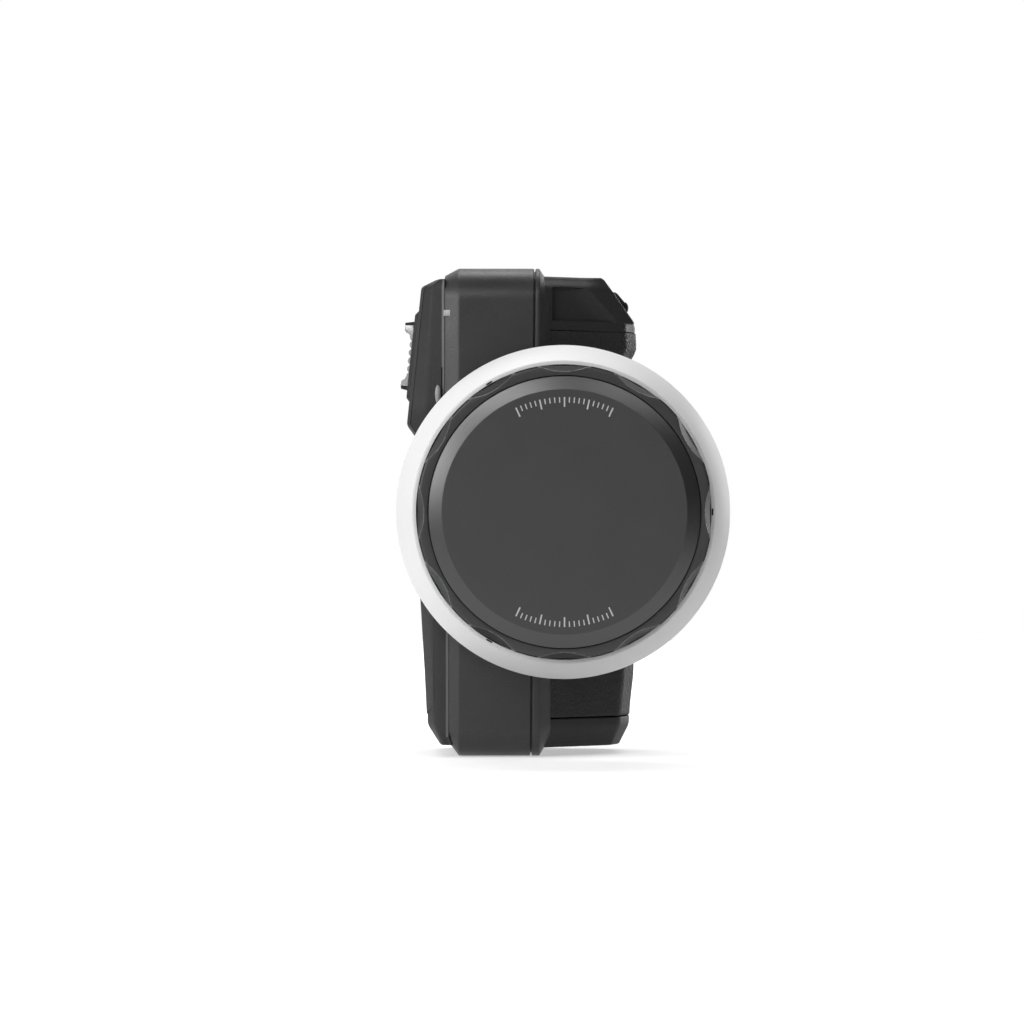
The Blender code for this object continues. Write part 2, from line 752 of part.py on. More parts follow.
def grip_reach(share):
    """Return the finger grip's reach at a share of its height."""
    marks = (
        (GRIP_FOOT_REACH, GRIP_HEEL_REACH),
        (GRIP_FOOT_REACH, GRIP_HEEL_REACH),
        (GRIP_WAIST_REACH, GRIP_HEEL_REACH),
        (GRIP_WAIST_REACH, GRIP_HEEL_REACH),
        (GRIP_WAIST_REACH, GRIP_CROWN_REACH),
        (GRIP_WAIST_REACH, GRIP_CROWN_REACH),
        (GRIP_WAIST_REACH, GRIP_CROWN_REACH),
        (GRIP_WAIST_REACH, GRIP_TOP_REACH),
    )
    reaches = [low + (high - low) * part for (low, high), part in zip(marks, GRIP_REACH_SHARES)]
    return curve_value(GRIP_HEIGHT_SHARES, reaches, share)


def curve_value(places, values, place_at):
    """Read a smooth curve through values at rising places."""
    for index in range(len(places) - 1):
        low, high = places[index], places[index + 1]
        if place_at <= high or index == len(places) - 2:
            before = slope_at(places, values, index)
            after = slope_at(places, values, index + 1)
            span = high - low
            part = (place_at - low) / span
            square, cube = part * part, part * part * part
            return (
                (2 * cube - 3 * square + 1) * values[index]
                + (cube - 2 * square + part) * span * before
                + (3 * square - 2 * cube) * values[index + 1]
                + (cube - square) * span * after
            )
    return values[-1]


def slope_at(places, values, index):
    """Return the curve's slope at a mark, level where the values turn back."""
    if index == 0 or index == len(places) - 1:
        return 0.0
    before = (values[index] - values[index - 1]) / (places[index] - places[index - 1])
    after = (values[index + 1] - values[index]) / (places[index + 1] - places[index])
    if before * after <= 0:
        return 0.0
    return 2 * before * after / (before + after)


def far_plan(reach, height, amount=0.0, bevel=0.0):
    """Return the far side's outline in plan at a height, moved inwards by an amount."""
    span = reach - FAR_EDGE
    half = FAR_PLAN_DEPTH / 2
    shoulder = FAR_EDGE + span * PLAN_SHOULDER_SHARE
    shoulder_depth = half * PLAN_SHOULDER_DEPTH_SHARE
    tip_depth = half * PLAN_TIP_DEPTH_SHARE
    slope = (half - shoulder_depth) / (shoulder - FAR_EDGE)
    root_depth = half + slope * (FAR_EDGE - ROOT_REACH) * FLARE_SHARE
    corners = [
        (ROOT_REACH, -root_depth),
        (shoulder, -shoulder_depth),
        (reach, -tip_depth),
        (reach, half * PLAN_HEEL_TIP_DEPTH_SHARE),
        (shoulder, half * PLAN_HEEL_DEPTH_SHARE),
        (ROOT_REACH, half),
    ]
    total = amount + bevel
    moved = inset(corners, [total] * (len(corners) - 1) + [0.0])
    corner = softened(FAR_CORNER_RADIUS, total)
    outline = rounded(moved, [0.0, corner, corner, corner, corner, 0.0])
    return [(point.x, point.y, height) for point in outline]


def grip_rings(amount, bottom, top, count):
    """Return rings up the finger grip, moved inwards by an amount."""
    rings = []
    for step in range(count + 1):
        share = step / count
        height = bottom + (top - bottom) * share
        rings.append(far_plan(grip_reach(share), height, amount))
    return rings


def core_rings(amount):
    """Return the rings of the plastic core under the finger grip."""
    top = GRIP_TOP_HEIGHT - SEAT_GAP / 2
    return grip_rings(amount, PAD_LOW_EDGE + SEAT_GAP / 2, top, GRIP_RINGS)


def far_core():
    """Return the foot and core of the far side as one solid."""
    foot_low = FAR_BASE_LIFT + FAR_FOOT_CHAMFER
    foot_top = PAD_LOW_EDGE - SEAT_GAP / 2
    rings = [
        far_plan(GRIP_FOOT_REACH, FAR_BASE_LIFT, 0, FAR_FOOT_CHAMFER_WIDTH),
        far_plan(GRIP_FOOT_REACH, foot_low),
        far_plan(GRIP_FOOT_REACH, foot_top),
        far_plan(GRIP_FOOT_REACH, foot_top, GRIP_RUBBER),
    ]
    return loft("far_core", rings + core_rings(GRIP_RUBBER)[1:], twisted=True)


def far_housing(knob_frame):
    """Model the far shell of the band together with the core of the finger grip."""
    flush, edge = seam_rings(1)
    shell = loft("far_housing", [edge, flush] + far_band_rings(), "shell_black")
    fuse(shell, far_core())
    deep = CHAMFER_BASE + GRIP_WALL
    mouth = SEAM_AT_BASE - CUT_OVERRUN
    band_room = loft(
        "far_band_room",
        [
            band_ring(at(mouth), BAND_WALL, BAND_WALL, BAND_WALL),
            band_ring(at(BAND_HALF_FLAT), BAND_WALL, BAND_WALL, BAND_WALL),
            band_ring(
                at(FAR_EDGE - BAND_SIDE_WALL),
                FAR_CHAMFER_TOP + GRIP_WALL,
                deep,
                FAR_CHAMFER_FACE + GRIP_WALL,
            ),
        ],
    )
    wall = GRIP_RUBBER + GRIP_WALL
    room_rings = []
    for step in range(GRIP_RINGS + 1):
        share = step / GRIP_RINGS
        low = PAD_LOW_EDGE + GRIP_WALL
        height = low + (GRIP_TOP_HEIGHT - BAND_WALL - low) * share
        ring = far_plan(grip_reach(share), height, wall)
        opened = []
        for x, y, z in ring:
            opened.append((BAND_HALF_FLAT if x <= ROOT_REACH + wall else x, y, z))
        room_rings.append(opened)
    grip_room = loft("far_grip_room", room_rings, twisted=True)
    return cut(shell, band_room, grip_room, tail_hole(knob_frame, "far_tail_hole"))


def finger_pad(envelope, knob_frame):
    """Model the rubber grip that wraps the far side."""
    pad = loft(
        "finger_pad",
        grip_rings(0, PAD_LOW_EDGE + SEAT_GAP / 2, GRIP_TOP_HEIGHT - SEAT_GAP / 2, GRIP_RINGS),
        "rubber_black",
        twisted=True,
    )
    core = core_rings(GRIP_RUBBER - SEAT_GAP)
    low = [(x, y, z - CUT_OVERRUN) for x, y, z in core[0]]
    high = [(x, y, z + CUT_OVERRUN) for x, y, z in core[-1]]
    hollow = loft("pad_hollow", [low] + core + [high], twisted=True)
    return cut(pad, envelope, hollow, turret_envelope(knob_frame))


def finger_module(envelope, finger_frame):
    """Model the cover above the finger grip, with its slanted face."""
    rise = MODULE_TOP_HEIGHT - MODULE_BEVEL
    rings = [
        far_plan(MODULE_REACH, MODULE_BASE),
        far_plan(MODULE_REACH, rise),
        far_plan(MODULE_REACH, MODULE_TOP_HEIGHT, 0, MODULE_BEVEL),
    ]
    cover = loft("finger_module", rings, "shell_black")
    length = math.hypot(FINGER_RUN, FINGER_FACE_HEIGHT)
    reach = length + CUT_OVERRUN
    corners = [(0, -reach), (reach, -reach), (reach, reach), (0, reach)]
    slice_away = prism("finger_slice", corners, "Y", -BAND_DEPTH, BAND_DEPTH, parent=finger_frame)
    seat = finger_outline(RUNNING_GAP)
    depth = FINGER_BUTTON_STEM + FINGER_BUTTON_TRAVEL + FINGER_SWITCH_HEIGHT + SEAT_GAP
    well = prism("finger_well", seat, "X", -depth, CUT_OVERRUN, parent=finger_frame)
    return cut(cover, envelope, slice_away, well)


# Finger button

def finger_outline(grow):
    """Return the finger button's outline across its slanted face."""
    width = FINGER_BUTTON_WIDTH + 2 * grow
    length = FINGER_BUTTON_LENGTH + 2 * grow
    radius = FINGER_BUTTON_LENGTH / 2 * BUTTON_CORNER_SHARE + grow
    return rectangle(width, length, radius)


def finger_button(finger_frame):
    """Model the dished button and the switch under it."""
    def level(height, shrink):
        return [(height, point.x, point.y) for point in finger_outline(-shrink)]

    crown = FINGER_BUTTON_RISE
    rings = [
        level(-FINGER_BUTTON_STEM, 0),
        level(crown - FINGER_BUTTON_DISH, 0),
        level(crown, FINGER_BUTTON_DISH),
        level(crown, FINGER_BUTTON_RIM),
        level(crown - FINGER_BUTTON_DISH, FINGER_BUTTON_RIM + FINGER_BUTTON_DISH),
    ]
    loft("finger_button", rings, "shell_black", finger_frame)
    top = -FINGER_BUTTON_STEM - FINGER_BUTTON_TRAVEL - SEAT_GAP
    half_length = FINGER_BUTTON_LENGTH / 2 * SWITCH_SHARE
    half_width = FINGER_BUTTON_WIDTH / 2 * SWITCH_SHARE
    box(
        "finger_switch",
        (top - FINGER_SWITCH_HEIGHT + SEAT_GAP, -half_width, -half_length),
        (top, half_width, half_length),
        "steel",
        finger_frame,
    )


# Operator side

def near_plan(reach, height, amount=0.0):
    """Return the operator side's outline in plan at a height; reach points to -X."""
    root = NEAR_EDGE - SEAT_GAP
    half = NEAR_PLAN_DEPTH / 2
    span = reach + root
    shoulder = root - span * NEAR_SHOULDER_SHARE
    shoulder_depth = half * NEAR_SHOULDER_DEPTH_SHARE
    tip_depth = half * NEAR_TIP_DEPTH_SHARE
    corners = [
        (root, half),
        (shoulder, shoulder_depth),
        (-reach, tip_depth),
        (-reach, -tip_depth),
        (shoulder, -shoulder_depth),
        (root, -half),
    ]
    moved = inset(corners, [amount] * (len(corners) - 1) + [0.0])
    corner = softened(NEAR_CORNER_RADIUS, amount)
    outline = rounded(moved, [0.0, corner, corner, corner, corner, 0.0], SMALL_ARC_STEPS)
    return [(point.x, point.y, height) for point in outline]


def control_head(head_frame):
    """Model the tilted head that holds the display and the thumb slider."""
    drop = HEAD_SHOULDER_DROP
    side = HEAD_TOP_REACH - HEAD_CROWN_REACH
    rings = [
        near_plan(HEAD_BASE_REACH, HEAD_BASE_HEIGHT),
        near_plan(HEAD_LOW_REACH, HEAD_LOW_HEIGHT),
        near_plan(HEAD_TOP_REACH, HEAD_SHOULDER_HEIGHT),
        near_plan(HEAD_TOP_REACH - side * FLARE_SHARE / 2, HEAD_TOP_HEIGHT - drop * FLARE_SHARE),
        near_plan(HEAD_CROWN_REACH, HEAD_TOP_HEIGHT, drop * FLARE_SHARE),
    ]
    head = loft("control_head", rings, "shell_black")
    panel_depth = GLASS_THICKNESS + PANEL_THICKNESS + 3 * SEAT_GAP
    slot_depth = SLIDER_STEM_DEPTH + SENSOR_THICKNESS + 2 * SEAT_GAP
    glass_seat = rectangle(
        GLASS_WIDTH + SEAT_GAP, GLASS_HEIGHT + SEAT_GAP, BEZEL_WALL, (-GLASS_OFFSET, 0)
    )
    panel_seat = rectangle(
        PANEL_WIDTH + 2 * SEAT_GAP, PANEL_HEIGHT + 2 * SEAT_GAP, SEAT_GAP, (-GLASS_OFFSET, 0)
    )
    bezel_seat = rectangle(
        BEZEL_WIDTH + 2 * SEAT_GAP, BEZEL_LENGTH + 2 * SEAT_GAP, BEZEL_WALL, (SLIDER_OFFSET, 0)
    )
    slot = rectangle(
        BEZEL_WIDTH - 2 * BEZEL_WALL, BEZEL_LENGTH - 2 * BEZEL_WALL, SEAT_GAP, (SLIDER_OFFSET, 0)
    )
    over = CUT_OVERRUN
    glass_floor = -GLASS_THICKNESS - 2 * SEAT_GAP
    return cut(
        head,
        prism("glass_seat", glass_seat, "X", -over, -glass_floor, parent=head_frame),
        prism("panel_seat", panel_seat, "X", -over, panel_depth, parent=head_frame),
        prism("bezel_seat", bezel_seat, "X", -over, BEZEL_SINK + SEAT_GAP, parent=head_frame),
        prism("slider_slot", slot, "X", -over, slot_depth, parent=head_frame),
    )


def display(head_frame):
    """Model the display's cover glass and the panel behind it."""
    glass = rectangle(GLASS_WIDTH, GLASS_HEIGHT, BEZEL_WALL, (-GLASS_OFFSET, 0))
    glass_back = GLASS_THICKNESS + SEAT_GAP
    prism("display_glass", glass, "X", SEAT_GAP, glass_back, "dark_glass", head_frame)
    panel = rectangle(PANEL_WIDTH, PANEL_HEIGHT, SEAT_GAP, (-GLASS_OFFSET, 0))
    front = glass_back + SEAT_GAP
    prism("display_panel", panel, "X", front, front + PANEL_THICKNESS, "board_green", head_frame)


def thumb_slider(head_frame):
    """Model the sprung thumb slider, its bezel and its sensor."""
    frame = rectangle(BEZEL_WIDTH, BEZEL_LENGTH, BEZEL_WALL, (SLIDER_OFFSET, 0))
    top = rectangle(
        BEZEL_WIDTH - BEZEL_RISE, BEZEL_LENGTH - BEZEL_RISE, BEZEL_WALL, (SLIDER_OFFSET, 0)
    )
    levels = ((BEZEL_SINK, frame), (-BEZEL_RISE / 2, frame), (-BEZEL_RISE, top))
    rings = [[(level, point.x, point.y) for point in ring] for level, ring in levels]
    bezel = loft("slider_bezel", rings, "shell_black", head_frame)
    window = rectangle(
        BEZEL_WIDTH - 2 * BEZEL_WALL, BEZEL_LENGTH - 2 * BEZEL_WALL, SEAT_GAP, (SLIDER_OFFSET, 0)
    )
    opening = prism("bezel_window", window, "X", -CUT_OVERRUN, CUT_OVERRUN, parent=head_frame)
    cut(bezel, opening)

    half = SLIDER_LENGTH / 2
    width = BEZEL_WIDTH - 2 * BEZEL_WALL - 2 * SEAT_GAP
    near = SLIDER_OFFSET - width / 2
    far = SLIDER_OFFSET + width / 2
    neck = BEZEL_LENGTH / 2 - BEZEL_WALL - SLIDER_TRAVEL - SEAT_GAP
    ledge = BEZEL_RISE + SEAT_GAP
    upper = [(-ledge, neck), (-ledge, half), (-SLIDER_HORN_RISE, half)]
    upper.append((-SLIDER_HORN_RISE, half * HORN_TIP_SHARE - SEAT_GAP))
    upper.append((-SLIDER_SADDLE_RISE, half * HORN_ROOT_SHARE))
    ribs = slider_ribs()
    lower = [(depth, -along) for depth, along in reversed(upper)]
    outline = [(BEZEL_SINK, neck)] + upper + ribs + lower + [(BEZEL_SINK, -neck)]
    slider = prism("thumb_slider", outline, "Y", near, far, "slider_silver", head_frame)
    quarter = width / 4
    stem = box(
        "slider_stem",
        (0, SLIDER_OFFSET - quarter, -SLIDER_STEM_LENGTH / 2),
        (SLIDER_STEM_DEPTH, SLIDER_OFFSET + quarter, SLIDER_STEM_LENGTH / 2),
        parent=head_frame,
    )
    fuse(slider, stem)
    sensor_top = SLIDER_STEM_DEPTH + SEAT_GAP
    box(
        "slider_sensor",
        (sensor_top, near, -SENSOR_LENGTH / 2),
        (sensor_top + SENSOR_THICKNESS, far, SENSOR_LENGTH / 2),
        "steel",
        head_frame,
    )


def slider_ribs():
    """Return the outline of the ribs across the slider's saddle, from top to bottom."""
    points = []
    for number in range(SLIDER_RIB_COUNT):
        middle = SLIDER_RIB_PITCH * ((SLIDER_RIB_COUNT - 1) / 2 - number)
        half = SLIDER_RIB_PITCH * RIB_WIDTH_SHARE / 2
        crest = -SLIDER_SADDLE_RISE - SLIDER_RIB_RISE
        points.append((-SLIDER_SADDLE_RISE, middle + half))
        points.append((crest, middle + half / 2))
        points.append((crest, middle - half / 2))
        points.append((-SLIDER_SADDLE_RISE, middle - half))
    return points


def base_trim():
    """Return the space that rounds the lower corners of the side cover."""
    half = NEAR_PLAN_DEPTH / 2 + SEAT_GAP
    low = COVER_BASE_LIFT - SEAT_GAP
    corners = [(-half, low), (half, low), (half, BAND_HEIGHT), (-half, BAND_HEIGHT)]
    outline = rounded(corners, [NEAR_BASE_RADIUS, NEAR_BASE_RADIUS, 0, 0], SMALL_ARC_STEPS)
    return prism("base_trim", outline, "X", -COVER_TOP_REACH - CUT_OVERRUN, 0)


def side_cover():
    """Model the cover under the head, with the wells of its keys."""
    rings = [near_plan(reach, ring_height) for reach, ring_height in cover_marks()]
    cover = loft("side_cover", rings, "shell_black")
    keep_inside(cover, base_trim())
    half_length = KEY_BOARD_LENGTH / 2 + SEAT_GAP
    half_height = KEY_BOARD_HEIGHT / 2 + SEAT_GAP
    room = box(
        "key_room",
        (KEY_WALL - KEY_HEIGHT_REACH, -half_length, KEY_HEIGHT - half_height),
        (NEAR_EDGE + CUT_OVERRUN, half_length, KEY_HEIGHT + half_height),
    )
    cut(cover, room)
    for name, side in key_places():
        well = turned_at(
            name + "_well",
            disc(KEY_RADIUS + RUNNING_GAP, -CUT_OVERRUN, KEY_WALL + CUT_OVERRUN / 2),
            TINY_TURN_STEPS,
            (-KEY_HEIGHT_REACH, side, KEY_HEIGHT),
            (1, 0, 0),
        )
        cut(cover, well)
    return cut(cover, pad_region("pad_recess", SEAT_GAP))


def cover_marks():
    """Return the side cover's reach at each of its heights."""
    return (
        (COVER_BASE_REACH, COVER_BASE_LIFT),
        (COVER_FOOT_REACH, COVER_CHAMFER_HEIGHT),
        (COVER_FOOT_REACH, COVER_FOOT_HEIGHT),
        (COVER_WAIST_REACH, COVER_WAIST_HEIGHT),
        (COVER_TOP_REACH, HEAD_BASE_HEIGHT - SEAT_GAP),
    )


def key_places():
    """Return the name and depth of each control key."""
    return (("menu_key", -KEY_SPACING), ("mode_key", 0.0), ("power_key", KEY_SPACING))


def pad_region(name, grow):
    """Return the space of the thumb pad: a skin of the side cover beyond an edge."""
    lower = PAD_BOTTOM_HEIGHT - grow
    upper = PAD_TOP_HEIGHT + grow
    edge = -PAD_EDGE_REACH + grow
    slant = COVER_WAIST_REACH - PAD_EDGE_REACH
    outline = [
        (edge, lower + slant / 2),
        (edge, upper),
        (-COVER_TOP_REACH - CUT_OVERRUN, upper),
        (-COVER_TOP_REACH - CUT_OVERRUN, lower - slant),
        (edge - slant / 2, lower - slant / 2),
    ]
    region = prism(name, outline, "Y", -NEAR_PLAN_DEPTH, NEAR_PLAN_DEPTH)
    depth = PAD_THICKNESS + grow - PAD_RISE
    rings = [near_plan(reach - depth, height, 0) for reach, height in cover_marks()]
    narrow = []
    for ring in rings:
        narrow.append([(x, y * (1 - 2 * depth / NEAR_PLAN_DEPTH), z) for x, y, z in ring])
    return cut(region, loft(name + "_core", narrow))


def thumb_pad():
    """Model the rubber pad let into the side cover."""
    rings = []
    for reach, height in cover_marks():
        ring = near_plan(reach + PAD_RISE, height)
        rings.append([(x, y * (1 + 2 * PAD_RISE / NEAR_PLAN_DEPTH), z) for x, y, z in ring])
    pad = loft("thumb_pad", rings, "rubber_black")
    return keep_inside(pad, pad_region("pad_space", 0.0))


def keys():
    """Model the three control keys and their board."""
    wall_inner = -KEY_HEIGHT_REACH + KEY_WALL
    flange_top = wall_inner + RUNNING_GAP
    flange_back = flange_top + KEY_FLANGE_THICKNESS
    for name, side in key_places():
        start = -KEY_HEIGHT_REACH - KEY_RISE
        profile = [
            (0, 0),
            (KEY_RADIUS - KEY_RISE / 2, 0),
            (KEY_RADIUS, KEY_RISE / 2),
            (KEY_RADIUS, flange_top - start),
            (KEY_RADIUS + KEY_FLANGE_WIDTH, flange_top - start),
            (KEY_RADIUS + KEY_FLANGE_WIDTH, flange_back - start),
            (0, flange_back - start),
        ]
        centre = (start, side, KEY_HEIGHT)
        turned_at(name, profile, TINY_TURN_STEPS, centre, (1, 0, 0), "shell_black")
    board_front = flange_back + KEY_TRAVEL + SEAT_GAP
    box(
        "key_board",
        (board_front, -KEY_BOARD_LENGTH / 2, KEY_HEIGHT - KEY_BOARD_HEIGHT / 2),
        (board_front + KEY_BOARD_THICKNESS, KEY_BOARD_LENGTH / 2, KEY_HEIGHT + KEY_BOARD_HEIGHT / 2),
        "board_green",
    )


# Knob, marking ring and what turns with them

def scallop_cut(depth):
    """Return the radius of a scallop's cutting circle at a depth below the rim."""
    centre = SCALLOP_ROOT_RADIUS + SCALLOP_RADIUS
    last = centre - KNOB_RADIUS
    share = (depth - FACE_BEVEL_DEPTH) / (SCALLOP_END_DEPTH - FACE_BEVEL_DEPTH)
    return SCALLOP_RADIUS + (last - SCALLOP_RADIUS) * share


def scallop_edge(radius, circle):
    """Return the half angle at which a scallop leaves a circle of the knob."""
    centre = SCALLOP_ROOT_RADIUS + SCALLOP_RADIUS
    cosine = (centre * centre + radius * radius - circle * circle) / (2 * centre * radius)
    return math.acos(min(cosine, 1.0))


def knob_ring(radius, depth, scalloped):
    """Return one ring of the knob, with the scallops cut in where they reach."""
    centre = SCALLOP_ROOT_RADIUS + SCALLOP_RADIUS
    pitch = FULL_TURN / SCALLOP_COUNT
    widest = scallop_edge(KNOB_RADIUS, SCALLOP_RADIUS)
    circle = scallop_cut(depth)
    half = widest
    if scalloped:
        half = max(scallop_edge(radius, circle), widest * MIN_RADIUS_SHARE)
    points = []
    for scallop in range(SCALLOP_COUNT):
        middle = pitch * scallop
        for step in range(SCALLOP_STEPS):
            offset = half * (2 * step / SCALLOP_STEPS - 1)
            reach = radius
            swing = centre * math.sin(offset)
            if scalloped and abs(swing) < circle:
                reach = min(radius, centre * math.cos(offset) - math.sqrt(circle ** 2 - swing ** 2))
            points.append(polar(middle + offset, reach, depth))
        for step in range(KNOB_LAND_STEPS):
            offset = half + (pitch - 2 * half) * step / KNOB_LAND_STEPS
            points.append(polar(middle + offset, radius, depth))
    return points


def polar(angle, radius, depth):
    """Return a point of a turned piece in its own frame."""
    return (radius * math.cos(angle), depth, radius * math.sin(angle))


def knob_body(knob_frame):
    """Model the scalloped cup of the knob with its rear flange."""
    fillet = KNOB_RADIUS - RIM_RADIUS
    recess = FACE_BEVEL_RADIUS + SEAT_GAP
    rings = [
        knob_ring(COUNTERBORE_RADIUS, COUNTERBORE_DEPTH, False),
        knob_ring(COUNTERBORE_RADIUS, WEB_FRONT, False),
        knob_ring(recess, WEB_FRONT, False),
        knob_ring(recess, FACE_BEVEL_DEPTH, False),
    ]
    for share in RIM_FILLET_SHARES:
        angle = share * math.pi / 2
        radius = RIM_RADIUS + fillet * math.sin(angle)
        depth = FACE_BEVEL_DEPTH + fillet * (1 - math.cos(angle))
        rings.append(knob_ring(radius, depth, True))
    first = FACE_BEVEL_DEPTH + fillet
    for share in SCALLOP_LEVEL_SHARES:
        depth = first + (SCALLOP_END_DEPTH - first) * share
        rings.append(knob_ring(KNOB_RADIUS, depth, True))
    flange_front = KNOB_LENGTH - FLANGE_THICKNESS
    rings += [
        knob_ring(KNOB_RADIUS, flange_front, False),
        knob_ring(FLANGE_RADIUS, flange_front, False),
        knob_ring(FLANGE_RADIUS, KNOB_LENGTH, False),
        knob_ring(KNOB_BORE, KNOB_LENGTH, False),
        knob_ring(KNOB_BORE, WEB_BACK, False),
        knob_ring(KNOB_SCREW_RADIUS + SEAT_GAP, WEB_BACK, False),
        knob_ring(KNOB_SCREW_RADIUS + SEAT_GAP, COUNTERBORE_DEPTH, False),
    ]
    loft("knob_body", rings, "knob_black", knob_frame, closed=True)


def knob_face(knob_frame):
    """Model the raised face plate with its bevelled edge."""
    profile = [
        (0, 0),
        (FACE_DISC_RADIUS, 0),
        (FACE_BEVEL_RADIUS, FACE_BEVEL_DEPTH),
        (FACE_BEVEL_RADIUS, FACE_THICKNESS),
        (0, FACE_THICKNESS),
    ]
    turned("knob_face", profile, TURN_STEPS, "knob_black", knob_frame)


def marking_ring(knob_frame):
    """Model the white marking ring with its tapered face and release notches."""
    lip = RING_BORE + RING_LIP_WIDTH
    cone_end = RING_FRONT_DEPTH + RING_CONE_LENGTH
    band_end = cone_end + RING_BAND_LENGTH
    middle = (lip + RING_RADIUS) / 2 + (RING_RADIUS - lip) * RING_BULGE_SHARE
    profile = [
        (RING_BORE, RING_FRONT_DEPTH),
        (lip, RING_FRONT_DEPTH),
        (middle, (RING_FRONT_DEPTH + cone_end) / 2),
        (RING_RADIUS, cone_end),
        (RING_RADIUS, band_end),
        (RING_RADIUS - RING_EDGE, band_end + RING_EDGE),
        (RING_BORE, band_end + RING_EDGE),
    ]
    ring = turned("marking_ring", profile, TURN_STEPS, "ring_white", knob_frame)
    for number in range(RING_NOTCH_COUNT):
        angle = FULL_TURN * number / RING_NOTCH_COUNT
        half = RING_NOTCH_WIDTH / 2
        notch = box(
            "ring_notch_%d" % number,
            (RING_BORE - RING_NOTCH_DEPTH, RING_FRONT_DEPTH - CUT_OVERRUN, -half),
            (RING_BORE + RING_LIP_WIDTH / 2, RING_FRONT_DEPTH + RING_NOTCH_DEPTH, half),
            parent=knob_frame,
        )
        notch.matrix_local = Matrix.Rotation(angle, 4, "Y")
        cut(ring, notch)


def knob_hub(knob_frame):
    """Model the hub and shaft, the centre screw, the stop pin, the clip and the magnet."""
    groove = SHAFT_RADIUS - CLIP_GROOVE_DEPTH
    profile = [
        (0, HUB_FRONT),
        (HUB_RADIUS, HUB_FRONT),
        (HUB_RADIUS, HUB_BACK),
        (SHAFT_RADIUS, HUB_BACK),
        (SHAFT_RADIUS, CLIP_FRONT - RUNNING_GAP),
        (groove, CLIP_FRONT - RUNNING_GAP),
        (groove, CLIP_FRONT + CLIP_THICKNESS + RUNNING_GAP),
        (SHAFT_RADIUS, CLIP_FRONT + CLIP_THICKNESS + RUNNING_GAP),
        (SHAFT_RADIUS, SHAFT_END),
        (0, SHAFT_END),
    ]
    hub = turned("knob_hub", profile, SMALL_TURN_STEPS, "alloy", knob_frame)
    screw_head = WEB_FRONT + SEAT_GAP
    screw_neck = screw_head + KNOB_SCREW_HEAD_LENGTH - SEAT_GAP
    screw_end = screw_neck + KNOB_SCREW_LENGTH
    screw = [
        (0, screw_head),
        (KNOB_SCREW_HEAD_RADIUS, screw_head),
        (KNOB_SCREW_HEAD_RADIUS, screw_neck),
        (KNOB_SCREW_RADIUS, screw_neck),
        (KNOB_SCREW_RADIUS, screw_end),
        (0, screw_end),
    ]
    turned("knob_screw", screw, TINY_TURN_STEPS, "steel", knob_frame)
    tapped = disc(KNOB_SCREW_RADIUS + RUNNING_GAP, HUB_FRONT - CUT_OVERRUN, screw_end + SEAT_GAP)
    pin_hole = disc(STOP_PIN_RADIUS + RUNNING_GAP, HUB_FRONT - CUT_OVERRUN, HUB_BACK + CUT_OVERRUN)
    pin_place = (0, 0, STOP_CIRCLE_RADIUS)
    along = (0, 1, 0)
    cut(
        hub,
        turned("hub_screw_hole", tapped, TINY_TURN_STEPS, parent=knob_frame),
        turned_at("stop_pin_hole", pin_hole, TINY_TURN_STEPS, pin_place, along, parent=knob_frame),
    )
    pin_end = DRUM_FRONT_DEPTH + STOP_GROOVE_DEPTH - CLIP_THICKNESS
    pin = disc(STOP_PIN_RADIUS, HUB_FRONT, pin_end)
    turned_at("stop_pin", pin, TINY_TURN_STEPS, pin_place, along, "steel", knob_frame)
    opening = math.radians(CLIP_OPENING)
    turned(
        "retaining_clip",
        sleeve(groove + RUNNING_GAP, CLIP_RADIUS, CLIP_FRONT, CLIP_FRONT + CLIP_THICKNESS),
        TINY_TURN_STEPS,
        "steel",
        knob_frame,
        FULL_TURN - opening,
        opening / 2,
    )
    magnet = disc(MAGNET_RADIUS, MAGNET_FRONT, MAGNET_FRONT + MAGNET_LENGTH)
    turned("encoder_magnet", magnet, TINY_TURN_STEPS, "steel", knob_frame)
    rotor_outer = KNOB_BORE - SEAT_GAP
    rotor = sleeve(
        rotor_outer - DAMPER_RING_THICKNESS,
        rotor_outer,
        WEB_BACK + SEAT_GAP,
        WEB_BACK + DAMPER_ROTOR_LENGTH,
    )
    turned("damper_rotor", rotor, SMALL_TURN_STEPS, "alloy", knob_frame)


# Turret that carries the knob

def drum_profile(grow, back):
    """Return the outer profile of the turret, from its front to the end of its cone."""
    return [
        (0, DRUM_FRONT_DEPTH - grow),
        (DRUM_RADIUS + grow, DRUM_FRONT_DEPTH - grow),
        (DRUM_RADIUS + grow, back),
        (DRUM_CONE_RADIUS + grow, back + DRUM_CONE_LENGTH),
        (0, back + DRUM_CONE_LENGTH),
    ]


def turret_envelope(knob_frame):
    """Return the turret, one seat gap larger, to cut the rubber round it."""
    profile = drum_profile(SEAT_GAP, DRUM_BACK_DEPTH + SEAT_GAP)
    return as_cutter(turned("turret_envelope", profile, TURN_STEPS, parent=knob_frame))


